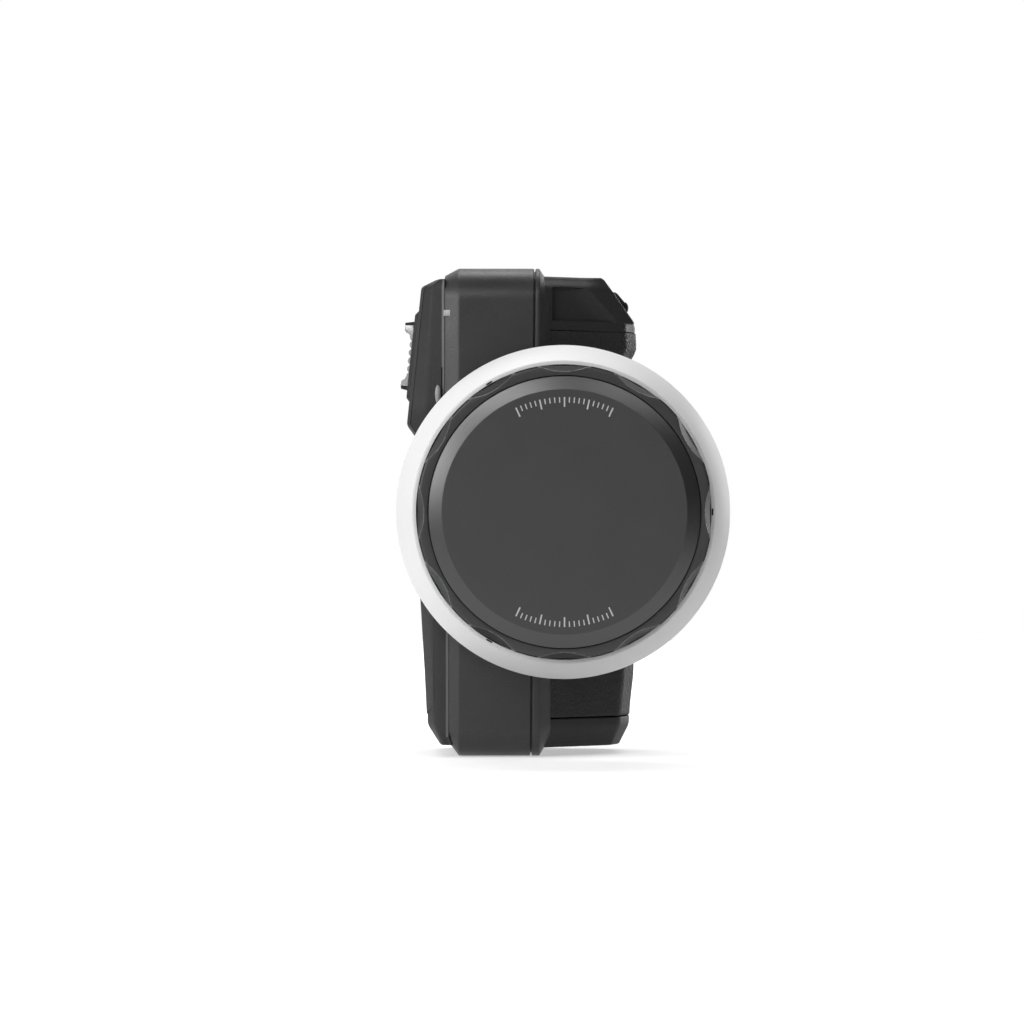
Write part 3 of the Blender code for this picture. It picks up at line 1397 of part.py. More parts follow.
def knob_turret(envelope, knob_frame):
    """Model the fixed turret: its drum, its cone against the grip and its bearing tail."""
    turret = turned(
        "knob_turret", drum_profile(0, DRUM_BACK_DEPTH), TURN_STEPS, "shell_black", knob_frame
    )
    core = core_rings(GRIP_RUBBER - SEAT_GAP)
    cut(turret, envelope, loft("core_envelope", core, twisted=True))
    tail = disc(TAIL_RADIUS, DRUM_FRONT_DEPTH + STOP_GROOVE_DEPTH, TAIL_END_DEPTH)
    fuse(turret, turned("turret_tail", tail, SMALL_TURN_STEPS, parent=knob_frame))
    wide = BEARING_RADIUS
    narrow = BEARING_RADIUS - BORE_SHOULDER
    bore = [
        (0, DRUM_FRONT_DEPTH - CUT_OVERRUN),
        (wide, DRUM_FRONT_DEPTH - CUT_OVERRUN),
        (wide, BORE_WIDE_END),
        (narrow, BORE_WIDE_END),
        (narrow, REAR_BEARING - SEAT_GAP),
        (wide, REAR_BEARING - SEAT_GAP),
        (wide, TAIL_END_DEPTH + CUT_OVERRUN),
        (0, TAIL_END_DEPTH + CUT_OVERRUN),
    ]
    inner = STOP_CIRCLE_RADIUS - STOP_GROOVE_WIDTH / 2
    outer = STOP_CIRCLE_RADIUS + STOP_GROOVE_WIDTH / 2
    groove_end = DRUM_FRONT_DEPTH + STOP_GROOVE_DEPTH
    pin_half = math.asin((STOP_PIN_RADIUS + RUNNING_GAP) / STOP_CIRCLE_RADIUS)
    half_sweep = math.radians(KNOB_HALF_TURN) + pin_half * (1 + MIN_RADIUS_SHARE)
    groove = turned(
        "stop_groove",
        sleeve(inner, outer, DRUM_FRONT_DEPTH - CUT_OVERRUN / 2, groove_end),
        TURN_STEPS,
        parent=knob_frame,
        angle=2 * half_sweep,
        start=-math.pi / 2 - half_sweep,
    )
    pocket = turned(
        "turret_pocket",
        sleeve(
            outer + DRUM_WALL,
            DRUM_RADIUS - DRUM_WALL,
            DRUM_FRONT_DEPTH - CUT_OVERRUN,
            KNOB_FACE_STANDOFF - DRUM_WALL,
        ),
        SMALL_TURN_STEPS,
        parent=knob_frame,
    )
    cut(turret, turned("turret_bore", bore, SMALL_TURN_STEPS, parent=knob_frame), groove, pocket)

    for name, start in (("front_bearing", FRONT_BEARING), ("rear_bearing", REAR_BEARING)):
        profile = sleeve(
            SHAFT_RADIUS + RUNNING_GAP, BEARING_RADIUS - RUNNING_GAP, start, start + BEARING_WIDTH
        )
        turned(name, profile, SMALL_TURN_STEPS, "steel", knob_frame)
    stator = sleeve(
        DRUM_RADIUS + SEAT_GAP,
        DRUM_RADIUS + DAMPER_RING_THICKNESS,
        DRUM_FRONT_DEPTH + SEAT_GAP,
        DRUM_FRONT_DEPTH + DAMPER_STATOR_LENGTH,
    )
    turned("damper_stator", stator, SMALL_TURN_STEPS, "alloy", knob_frame)
    board = disc(BEARING_RADIUS - SEAT_GAP, ENCODER_FRONT, ENCODER_FRONT + ENCODER_THICKNESS)
    turned("encoder_board", board, SMALL_TURN_STEPS, "board_green", knob_frame)


# Palm side, inner parts and small parts of the band

def palm_pad():
    """Model the crowned rubber pad on the back of the band."""
    middle = PALM_PAD_LOW_HEIGHT + PALM_PAD_HEIGHT / 2
    base = BAND_BACK + SEAT_GAP
    levels = (
        (base, 0.0),
        (base + PALM_PAD_THICKNESS - PALM_PAD_CROWN, 0.0),
        (base + PALM_PAD_THICKNESS, PALM_PAD_CROWN),
    )
    rings = []
    for depth, shrink in levels:
        outline = rectangle(
            PALM_PAD_WIDTH - 2 * shrink,
            PALM_PAD_HEIGHT - 2 * shrink,
            PALM_PAD_CORNER - shrink,
            (0, middle),
        )
        rings.append([(point.x, depth, point.y) for point in outline])
    loft("palm_pad", rings, "rubber_black")


def board_face():
    """Return where the face of the main board that looks to the operator lies."""
    return NEAR_EDGE + BAND_SIDE_WALL + BOARD_STANDOFF


def main_board():
    """Model the main board with its radio shield and its charging port."""
    front = board_face()
    back = front + BOARD_THICKNESS
    box(
        "main_board",
        (front, -BOARD_DEPTH / 2, BOARD_LOW_HEIGHT),
        (back, BOARD_DEPTH / 2, BOARD_LOW_HEIGHT + BOARD_HEIGHT),
        "board_green",
    )
    middle = BOARD_LOW_HEIGHT + BOARD_HEIGHT / 2
    shield_back = front - SEAT_GAP
    box(
        "radio_shield",
        (shield_back - SHIELD_THICKNESS, -SHIELD_DEPTH / 2, middle - SHIELD_HEIGHT / 2),
        (shield_back, SHIELD_DEPTH / 2, middle + SHIELD_HEIGHT / 2),
        "alloy",
        bevel=SEAT_GAP,
    )
    mouth = BAND_BACK - SEAT_GAP
    shell = prism("charge_port", port_outline(0.0), "Y", mouth - PORT_LENGTH, mouth, "steel")
    back_wall = mouth - PORT_LENGTH + PORT_WALL
    room = prism("port_room", port_outline(-PORT_WALL), "Y", back_wall, mouth + PORT_WALL)
    blade = port_outline((PORT_TONGUE - PORT_THICKNESS) / 2)
    tongue = prism("port_tongue", blade, "Y", back_wall - PORT_WALL / 2, mouth - PORT_WALL)
    fuse(cut(shell, room), tongue)


def port_outline(grow):
    """Return the charging port's outline in X and Z."""
    back = board_face() + BOARD_THICKNESS
    centre = (back + SEAT_GAP + PORT_THICKNESS / 2, PORT_HEIGHT)
    width = PORT_THICKNESS + 2 * grow
    return rectangle(width, PORT_WIDTH + 2 * grow, width / 2 * HORN_TIP_SHARE, centre)


def port_hole():
    """Return the window in the back of the band for the charging port."""
    start = BAND_BACK - BAND_WALL - CUT_OVERRUN / 2
    return prism("port_window", port_outline(SEAT_GAP), "Y", start, BAND_BACK + CUT_OVERRUN)


def cell_centre():
    """Return the middle of the cell's foot."""
    side = NEAR_EDGE + BAND_SIDE_WALL + SEAT_GAP + CELL_RADIUS
    depth = BAND_BACK - BAND_WALL - CELL_BACK_GAP - CELL_RADIUS
    return Vector((side, depth, BAND_WALL + SEAT_GAP))


def battery():
    """Model the cell and the clip that holds its top."""
    foot = cell_centre()
    shoulder = CELL_RADIUS * MIN_RADIUS_SHARE / 2
    profile = [
        (0, 0),
        (CELL_RADIUS - shoulder, 0),
        (CELL_RADIUS, shoulder),
        (CELL_RADIUS, CELL_HEIGHT - shoulder),
        (CELL_RADIUS - shoulder, CELL_HEIGHT),
        (0, CELL_HEIGHT),
    ]
    turned_at("battery_cell", profile, SMALL_TURN_STEPS, foot, (0, 0, 1), "cell_wrap")
    clip_low = foot.z + CELL_HEIGHT + SEAT_GAP
    side = NEAR_EDGE + BAND_SIDE_WALL + SEAT_GAP
    box(
        "battery_clip",
        (side, foot.y - CELL_CLIP_WIDTH / 2, clip_low),
        (side + 2 * CELL_RADIUS, foot.y + CELL_CLIP_WIDTH / 2, clip_low + CELL_CLIP_THICKNESS),
        "steel",
        bevel=SEAT_GAP,
    )


def tripod_socket():
    """Model the brass insert in the base."""
    profile = [
        (0, SOCKET_HEIGHT - SOCKET_CEILING),
        (SOCKET_BORE_RADIUS, SOCKET_HEIGHT - SOCKET_CEILING),
        (SOCKET_BORE_RADIUS, 0),
        (SOCKET_RADIUS, 0),
        (SOCKET_RADIUS, SOCKET_HEIGHT),
        (0, SOCKET_HEIGHT),
    ]
    turned_at(
        "tripod_socket", profile, SMALL_TURN_STEPS, (0, -SOCKET_SETBACK, 0), (0, 0, 1), "brass"
    )


def light_frame():
    """Return the matrix of the status light: on the chamfer, facing out of it."""
    angle = math.atan2(NEAR_CHAMFER_FACE, NEAR_CHAMFER_WIDTH)
    side = NEAR_EDGE + LIGHT_WIDE / 2 * math.cos(angle)
    depth = BAND_FRONT + NEAR_CHAMFER_FACE - LIGHT_WIDE / 2 * math.sin(angle)
    return Matrix.Translation((side, depth, LIGHT_HEIGHT)) @ Matrix.Rotation(-angle, 4, "Z")


def light_outline(grow):
    """Return the status light's outline along the chamfer."""
    corner = LIGHT_TALL / 2 * BUTTON_CORNER_SHARE
    return rectangle(LIGHT_WIDE + 2 * grow, LIGHT_TALL + 2 * grow, corner)


def status_light():
    """Model the light guide in the chamfer."""
    guide = prism("status_light", light_outline(0.0), "Y", 0, LIGHT_DEPTH, "light_diffuser")
    guide.matrix_world = light_frame()


def light_seat():
    """Return the seat of the status light."""
    depth = LIGHT_DEPTH + RUNNING_GAP
    seat = prism("light_seat", light_outline(RUNNING_GAP), "Y", -CUT_OVERRUN, depth)
    seat.matrix_world = light_frame()
    return seat


def clear_scene():
    """Remove every object that the new file starts with."""
    for item in list(bpy.data.objects):
        bpy.data.objects.remove(item, do_unlink=True)


def build():
    """Build the whole device."""
    clear_scene()
    for name, values in FINISH_TABLE.items():
        finish(name, *values)
    knob_frame = frame_at("knob_frame", KNOB_AXIS)
    head_frame = frame_at("head_frame", HEAD_MIDDLE, HEAD_TILT)
    finger_frame = frame_at("finger_frame", FINGER_MIDDLE, FINGER_TILT)
    envelope = band_envelope()
    operator_housing(knob_frame)
    far_housing(knob_frame)
    finger_pad(envelope, knob_frame)
    finger_module(envelope, finger_frame)
    finger_button(finger_frame)
    control_head(head_frame)
    display(head_frame)
    thumb_slider(head_frame)
    cut(side_cover(), envelope)
    thumb_pad()
    keys()
    knob_turret(envelope, knob_frame)
    knob_body(knob_frame)
    knob_face(knob_frame)
    knob_hub(knob_frame)
    marking_ring(knob_frame)
    palm_pad()
    main_board()
    battery()
    tripod_socket()
    status_light()
    bpy.context.view_layer.update()


build()
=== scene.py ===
"""Looks of the wireless focus demand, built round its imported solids.

Row frame, in metres: the knob points to -Y, the operator's side is -X, the finger grip is +X,
the palm side is +Y and the base stands at Z 0.
"""

import json
import math

import bmesh
import bpy
from mathutils import Matrix, Vector


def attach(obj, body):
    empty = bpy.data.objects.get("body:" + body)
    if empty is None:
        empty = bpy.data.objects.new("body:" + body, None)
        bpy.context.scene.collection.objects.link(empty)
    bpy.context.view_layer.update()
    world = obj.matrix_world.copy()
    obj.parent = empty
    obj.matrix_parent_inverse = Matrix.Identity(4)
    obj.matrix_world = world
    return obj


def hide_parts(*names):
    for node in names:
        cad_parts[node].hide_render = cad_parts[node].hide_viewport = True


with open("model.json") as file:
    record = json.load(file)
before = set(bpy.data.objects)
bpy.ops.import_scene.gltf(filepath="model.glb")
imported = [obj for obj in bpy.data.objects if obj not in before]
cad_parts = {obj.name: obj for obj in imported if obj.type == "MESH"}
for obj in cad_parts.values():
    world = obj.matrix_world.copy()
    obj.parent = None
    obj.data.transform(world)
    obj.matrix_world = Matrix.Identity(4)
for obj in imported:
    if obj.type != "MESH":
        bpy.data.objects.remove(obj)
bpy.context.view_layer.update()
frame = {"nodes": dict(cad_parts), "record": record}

MM = 0.001
FULL = 2 * math.pi

# Sizes that several pieces share, in millimetres

BAND_HEIGHT = 118.2
BAND_FRONT = -25.0
BAND_BACK = 25.0
HALF_FLAT = 9.75
NEAR_EDGE = -13.15
FAR_EDGE = 12.5
SEAM_FOOT = 7.74
SEAM_LEAN = 0.96
SEAM_GAP = 0.13
# How far each chamfer leaves the band's top, base and faces
NEAR_CHAMFER = (1.8, 4.8, 3.0)
FAR_CHAMFER = (4.2, 4.8, 3.5)
END_INSET = 1.2

# The cover and the head widen from this distance on
OPERATOR_ROOT = 13.42
HEAD_MIDDLE = (-20.55, 0.0, 96.75)
HEAD_TILT = math.atan2(3.5, 33.1)
DISPLAY_CENTRE = (-4.5, 0.0)
DISPLAY_SIZE = (20.2, 27.0)
BEZEL_CENTRE = (12.2, 0.95)
BEZEL_SIZE = (10.1, 22.85)
SLIDER_LIFT = 0.85
KEY_HEIGHT = 64.0
KEY_PLACES = {"menu_key": -9.8, "mode_key": 0.0, "power_key": 9.8}

ROOT_REACH = 10.45
FAR_HALF = 22.0
GRIP_LOW = 9.29
GRIP_TOP = 102.97
MODULE_REACH = 33.4
MODULE_BASE = 103.05
MODULE_TOP = 116.2
LEDGE = 105.3
FINGER_MIDDLE = (29.42, 0.0, 110.55)
FINGER_SLOPE = 0.7276
FINGER_TILT = -math.atan(FINGER_SLOPE)

# Depths on the knob are measured from its front plane
KNOB_AXIS = (15.43, -55.0, 59.1)
KNOB_RADIUS = 34.75
KNOB_FRONT = 1.6
FACE_RADIUS = 31.9
RING_RADIUS = 40.0
RING_BORE = 35.05
RING_FRONT = 15.5
SCALLOPS = 12
SCALLOP_CENTRE = 48.3
SCALLOP_RADIUS = 15.3
SCALLOP_END = 14.2
TICK_RISE = 0.014
TICK_END = 26.9

CAMERA_PLACE = (3.15, -1053.0, 59.1)
LENS = 150.0
SENSOR = 36.0

# Angles between faces over which an edge stays sharp, in degrees
SHARP = 32.0
SOFT = 50.0


# Materials

def nodes_of(name):
    """Return a new material's node tree and its shader."""
    material = bpy.data.materials.new(name)
    material.use_nodes = True
    tree = material.node_tree
    return material, tree, tree.nodes["Principled BSDF"]


def noise(tree, coords, scale, detail=2.0, rough=0.5):
    """Return the value of a noise of a scale in cells for each metre."""
    node = tree.nodes.new("ShaderNodeTexNoise")
    node.inputs["Scale"].default_value = scale
    node.inputs["Detail"].default_value = detail
    node.inputs["Roughness"].default_value = rough
    tree.links.new(coords, node.inputs["Vector"])
    return node.outputs["Fac"]


def ramp(tree, value, low, high, a=0.0, b=1.0):
    """Map a value from one range to another."""
    node = tree.nodes.new("ShaderNodeMapRange")
    node.inputs["From Min"].default_value = low
    node.inputs["From Max"].default_value = high
    node.inputs["To Min"].default_value = a
    node.inputs["To Max"].default_value = b
    tree.links.new(value, node.inputs["Value"])
    return node.outputs["Result"]


def blended(tree, fac, two):
    """Return a mix of a first colour, set or linked later, and a second one by a value."""
    node = tree.nodes.new("ShaderNodeMix")
    node.data_type = "RGBA"
    node.inputs["B"].default_value = (*two, 1)
    tree.links.new(fac, node.inputs["Factor"])
    return node


def bump(tree, height, distance, strength, before=None):
    """Return a bumped normal."""
    node = tree.nodes.new("ShaderNodeBump")
    node.inputs["Distance"].default_value = distance
    node.inputs["Strength"].default_value = strength
    tree.links.new(height, node.inputs["Height"])
    if before is not None:
        tree.links.new(before, node.inputs["Normal"])
    return node.outputs["Normal"]


def pebbled(tree, coords, scale, depth):
    """Return a normal with small domes, as moulded rubber has."""
    cells = tree.nodes.new("ShaderNodeTexVoronoi")
    cells.inputs["Scale"].default_value = scale
    tree.links.new(coords, cells.inputs["Vector"])
    dome = ramp(tree, cells.outputs["Distance"], 0.15, 0.75, 1.0, 0.0)
    return bump(tree, dome, depth * MM, 0.9)


def surface(name, colour, rough, spec, metal=0.0, grain=2600.0, grain_depth=0.03, tone=0.12,
            spread=0.06, coat=0.0, worn=0.0, pebble=0.0, pebble_depth=0.0):
    """Make a procedural finish: fine grain, uneven tone and gloss, paler worn edges, pebbles.

    Grain and pebbles are cells for each metre, and their depths are in millimetres.
    """
    material, tree, shader = nodes_of(name)
    coords = tree.nodes.new("ShaderNodeTexCoord").outputs["Object"]
    fine = noise(tree, coords, grain, 3.0, 0.6)
    broad = noise(tree, coords, 90.0, 3.0, 0.55)
    light = [min(c * (1 + tone), 1.0) for c in colour]
    mix = blended(tree, ramp(tree, fine, 0.3, 0.7), light)
    mix.inputs["A"].default_value = (*[c * (1 - tone) for c in colour], 1)
    if worn > 0:
        point = tree.nodes.new("ShaderNodeNewGeometry").outputs["Pointiness"]
        pale = [min(c * 3.0 + 0.05, 1.0) for c in colour]
        edges = blended(tree, ramp(tree, point, 0.53, 0.60, 0.0, worn), pale)
        tree.links.new(mix.outputs["Result"], edges.inputs["A"])
        mix = edges
    tree.links.new(mix.outputs["Result"], shader.inputs["Base Color"])
    gloss = ramp(tree, broad, 0.25, 0.75, rough - spread, rough + spread)
    tree.links.new(gloss, shader.inputs["Roughness"])
    shader.inputs["Metallic"].default_value = metal
    shader.inputs["Specular IOR Level"].default_value = spec
    shader.inputs["Coat Weight"].default_value = coat
    normal = pebbled(tree, coords, pebble, pebble_depth) if pebble > 0 else None
    normal = bump(tree, fine, grain_depth * MM, 0.8, normal)
    tree.links.new(normal, shader.inputs["Normal"])
    return material


# Each finish: its colour, roughness and specular level, and what differs from the defaults
FINISHES = {
    "band_black": ((0.036, 0.036, 0.038), 0.36, 0.34, dict(worn=0.06, grain_depth=0.07)),
    "shell_black": ((0.028, 0.028, 0.029), 0.50, 0.22, dict(grain=2200.0, grain_depth=0.06)),
    "rubber_black": ((0.023, 0.023, 0.024), 0.60, 0.30,
                     dict(grain=3200.0, pebble=1700.0, pebble_depth=0.12)),
    "pad_black": ((0.030, 0.030, 0.031), 0.55, 0.30,
                  dict(grain=3200.0, pebble=2300.0, pebble_depth=0.05)),
    # knob_black is darker than rim_black: on the knob's scallop walls and sides it is painted
    # shade
    "knob_black": ((0.014, 0.014, 0.015), 0.60, 0.12, dict(grain=3000.0, grain_depth=0.015)),
    "rim_black": ((0.030, 0.030, 0.031), 0.40, 0.50, dict(grain=3000.0, grain_depth=0.015)),
    # painted_lip_highlight: a paler grey that paints a highlight on the left-facing lip over the
    # band
    "painted_lip_highlight": ((0.066, 0.066, 0.067), 0.40, 0.45, dict(grain=3000.0, grain_depth=0.015)),
    # painted_edge_highlight: a pale grey that paints highlight lines on the scallops' front edges
    "painted_edge_highlight": ((0.120, 0.120, 0.121), 0.40, 0.60, dict(grain=3000.0, grain_depth=0.01)),
    "face_black": ((0.036, 0.036, 0.037), 0.40, 0.55,
                   dict(grain=3400.0, grain_depth=0.02, spread=0.03)),
    "bevel_black": ((0.004, 0.004, 0.0045), 0.30, 0.95,
                    dict(grain=3400.0, grain_depth=0.005, tone=0.06, spread=0.01)),
    "ring_white": ((0.82, 0.82, 0.82), 0.45, 0.30,
                   dict(grain=1800.0, grain_depth=0.008, tone=0.012, spread=0.03)),
    "slider_silver": ((0.48, 0.48, 0.49), 0.38, 0.5,
                      dict(metal=0.3, grain=2400.0, grain_depth=0.01, tone=0.05)),
    "light_diffuser": ((0.32, 0.32, 0.31), 0.34, 0.4,
                       dict(grain=900.0, grain_depth=0.01, tone=0.04)),
    "print_grey": ((0.50, 0.50, 0.50), 0.55, 0.3,
                   dict(grain=4000.0, grain_depth=0.005, tone=0.06)),
    "dark_glass": ((0.006, 0.006, 0.008), 0.07, 0.5,
                   dict(grain=300.0, grain_depth=0.0005, tone=0.2, spread=0.02, coat=0.4)),
    "steel": ((0.56, 0.56, 0.57), 0.30, 0.5, dict(metal=1.0, tone=0.08)),
    "alloy": ((0.66, 0.66, 0.68), 0.34, 0.5, dict(metal=1.0, tone=0.08)),
    "brass": ((0.72, 0.54, 0.26), 0.30, 0.5, dict(metal=1.0, tone=0.10)),
    "board_green": ((0.03, 0.16, 0.07), 0.45, 0.5, dict(tone=0.20)),
    "cell_wrap": ((0.10, 0.16, 0.32), 0.40, 0.5, dict(tone=0.06)),
}
MATS = {
    name: surface(name, colour, rough, spec, **rest)
    for name, (colour, rough, spec, rest) in FINISHES.items()
}


# Mesh helpers: every shape is written in millimetres and stored in metres

def piece(name, verts, faces, finish, body, angle=SHARP, matrix=None):
    """Make a smooth-shaded piece that rides on a body."""
    mesh = bpy.data.meshes.new(name)
    mesh.from_pydata([Vector(v) * MM for v in verts], [], faces)
    if matrix is not None:
        mesh.transform(matrix)
    tidy(mesh)
    mesh.shade_smooth()
    mesh.set_sharp_from_angle(angle=math.radians(angle))
    mesh.materials.append(MATS[finish])
    made = bpy.data.objects.new(name, mesh)
    bpy.context.scene.collection.objects.link(made)
    if body is not None:
        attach(made, body)
    return made


def refinish(made, finish, chosen):
    """Give some faces of a piece another finish."""
    made.data.materials.append(MATS[finish])
    for face in made.data.polygons:
        if chosen(face):
            face.material_index = len(made.data.materials) - 1


def tidy(mesh):
    """Merge doubled points and turn every face outwards."""
    shape = bmesh.new()
    shape.from_mesh(mesh)
    bmesh.ops.remove_doubles(shape, verts=shape.verts, dist=1e-7)
    bmesh.ops.recalc_face_normals(shape, faces=shape.faces)
    shape.to_mesh(mesh)
    shape.free()


def loft_mesh(rings, closed=False):
    """Return the points and faces that join rings of points into a solid."""
    count = len(rings[0])
    verts = [point for ring in rings for point in ring]
    faces = []
    ends = len(rings) if closed else len(rings) - 1
    for level in range(ends):
        low = level * count
        high = (level + 1) % len(rings) * count
        for index in range(count):
            after = (index + 1) % count
            faces.append((low + index, low + after, high + after, high + index))
    if not closed:
        faces.append(tuple(reversed(range(count))))
        last = (len(rings) - 1) * count
        faces.append(tuple(range(last, last + count)))
    return verts, faces


def loft(name, rings, finish, body, closed=False, angle=SHARP, matrix=None):
    """Make a piece from rings of points."""
    verts, faces = loft_mesh(rings, closed)
    return piece(name, verts, faces, finish, body, angle, matrix)


def softened(rings, radii, steps=4):
    """Round the edges at the inner rings, each with its own radius."""
    made = [rings[0]]
    for index in range(1, len(rings) - 1):
        radius = radii[index]
        if radius <= 0:
            made.append(rings[index])
            continue
        blocks = [[] for _ in range(steps + 1)]
        for before, corner, after in zip(rings[index - 1], rings[index], rings[index + 1]):
            before, corner, after = Vector(before), Vector(corner), Vector(after)
            back, on = before - corner, after - corner
            first = corner + back * min(radius / max(back.length, 1e-6), 0.45)
            last = corner + on * min(radius / max(on.length, 1e-6), 0.45)
            for step in range(steps + 1):
                t = step / steps
                blocks[step].append(
                    first * (1 - t) ** 2 + corner * 2 * t * (1 - t) + last * t ** 2
                )
        made += blocks
    made.append(rings[-1])
    return made


def circle(radius, steps):
    """Return the points of a circle about the origin."""
    turns = [FULL * step / steps for step in range(steps)]
    return [(radius * math.cos(turn), radius * math.sin(turn)) for turn in turns]


def on_knob(x, depth, z):
    """Return a place given from the middle of the knob's face."""
    return (KNOB_AXIS[0] + x, KNOB_AXIS[1] + depth, KNOB_AXIS[2] + z)


def lathe(name, profile, steps, finish, body, angle=SHARP):
    """Turn a profile of (radius, depth) pairs, with both ends on it, about the knob's axis."""
    rings = [[on_knob(x, depth, z) for x, z in circle(radius, steps)]
             for radius, depth in profile]
    return loft(name, rings, finish, body, False, angle)


def rounded(corners, radii, steps=8):
    """Replace each corner of a polygon with an arc of its radius."""
    points = []
    count = len(corners)
    for index, place in enumerate(corners):
        radius = radii[index]
        corner = Vector(place)
        if radius <= 0:
            points.append(corner)
            continue
        before = (Vector(corners[index - 1]) - corner).normalized()
        after = (Vector(corners[(index + 1) % count]) - corner).normalized()
        half = before.angle(after) / 2
        centre = corner + (before + after).normalized() * (radius / math.sin(half))
        first = corner + before * (radius / math.tan(half)) - centre
        last = corner + after * (radius / math.tan(half)) - centre
        start = math.atan2(first.y, first.x)
        sweep = (math.atan2(last.y, last.x) - start + math.pi) % FULL - math.pi
        for step in range(steps + 1):
            turn = start + sweep * step / steps
            points.append(centre + Vector((math.cos(turn), math.sin(turn))) * radius)
    return points


def inset(corners, amounts):
    """Move each edge of a counter-clockwise polygon inwards."""
    lines = []
    for index, amount in enumerate(amounts):
        corner = Vector(corners[index])
        along = (Vector(corners[(index + 1) % len(corners)]) - corner).normalized()
        lines.append((corner + Vector((-along.y, along.x)) * amount, along))
    moved = []
    for index in range(len(corners)):
        here, along_here = lines[index - 1]
        there, along_there = lines[index]
        travel = (there - here).cross(along_there) / along_here.cross(along_there)
        moved.append(here + along_here * travel)
    return moved


def rectangle(width, height, radius, centre=(0.0, 0.0), steps=6):
    """Return a rounded rectangle."""
    x, y = width / 2, height / 2
    corners = [(-x, -y), (x, -y), (x, y), (-x, y)]
    return [p + Vector(centre) for p in rounded(corners, [radius] * 4, steps)]


def tilted(middle, turn):
    """Return the matrix of a face that leans about Y; its points are in metres."""
    return Matrix.Translation(Vector(middle) * MM) @ Matrix.Rotation(turn, 4, "Y")


HEAD_FACE = tilted(HEAD_MIDDLE, HEAD_TILT)
FINGER_FACE = tilted(FINGER_MIDDLE, FINGER_TILT)


def cutter(name, outline, low, high, matrix=None):
    """Return a shape that cuts an outline in Y and Z through a stretch of X."""
    rings = [[(x, y, z) for y, z in outline] for x in (low, high)]
    return loft(name, rings, "shell_black", None, matrix=matrix)


def slot_cutter(name, low, high):
    """Return a rounded block that cuts a slot from front to back."""
    width = high[0] - low[0]
    centre = ((low[0] + high[0]) / 2, (low[2] + high[2]) / 2)
    outline = rectangle(width, high[2] - low[2], width * 0.4, centre)
    rings = [[(p.x, y, p.y) for p in outline] for y in (low[1], high[1])]
    return loft(name, rings, "shell_black", None)


def settle(made):
    """Apply a piece's modifiers."""
    bpy.context.view_layer.update()
    seen = made.evaluated_get(bpy.context.evaluated_depsgraph_get())
    mesh = bpy.data.meshes.new_from_object(seen)
    old = made.data
    made.modifiers.clear()
    made.data = mesh
    bpy.data.meshes.remove(old)


def carved(made, *cutters):
    """Take shapes out of a piece and drop them."""
    for tool in cutters:
        step = made.modifiers.new("carve", "BOOLEAN")
        step.operation = "DIFFERENCE"
        step.solver = "EXACT"
        step.object = tool
    settle(made)
    for tool in cutters:
        bpy.data.objects.remove(tool, do_unlink=True)
    made.data.shade_smooth()
    made.data.set_sharp_from_angle(angle=math.radians(SHARP))


def stands_for(node):
    """Let a piece stand for a CAD node by hiding the node."""
    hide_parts(node)


def dressed(node, finish, width, segments=2, body="hand_unit"):
    """Stand a copy with rounded edges in for a CAD node."""
    shape = bmesh.new()
    shape.from_mesh(frame["nodes"][node].data)
    bmesh.ops.remove_doubles(shape, verts=shape.verts, dist=1e-6)
    bmesh.ops.dissolve_limit(
        shape, angle_limit=math.radians(1.5), verts=shape.verts, edges=shape.edges
    )
    mesh = bpy.data.meshes.new(node + "_look")
    shape.to_mesh(mesh)
    shape.free()
    mesh.materials.append(MATS[finish])
    made = bpy.data.objects.new(node + "_look", mesh)
    bpy.context.scene.collection.objects.link(made)
    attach(made, body)
    step = made.modifiers.new("soft_edges", "BEVEL")
    step.width = width * MM
    step.segments = segments
    step.limit_method = "ANGLE"
    step.angle_limit = math.radians(25.0)
    step.harden_normals = False
    settle(made)
    made.data.shade_smooth()
    made.data.set_sharp_from_angle(angle=math.radians(40.0))
    stands_for(node)


# Central band

def seam_at(height):
    """Return where the parting line lies."""
    return SEAM_FOOT + SEAM_LEAN * height / BAND_HEIGHT


def band_ring(place_at, top, base, face, base_turn=None):
    """Return the band's outline, moved inwards at its top, base and faces."""
    corners = [
        (BAND_FRONT + face, base),
        (BAND_BACK - face, base),
        (BAND_BACK - face, BAND_HEIGHT - top),
        (BAND_FRONT + face, BAND_HEIGHT - top),
    ]
    base_turn = base_turn or max(7.3 - (base + face) / 2, 1.1)
    top_turn = max(8.2 - (top + face) / 2, 1.2)
    outline = rounded(corners, [base_turn, base_turn, top_turn, top_turn], 16)
    return [(place_at(p.y), p.x, p.y) for p in outline]


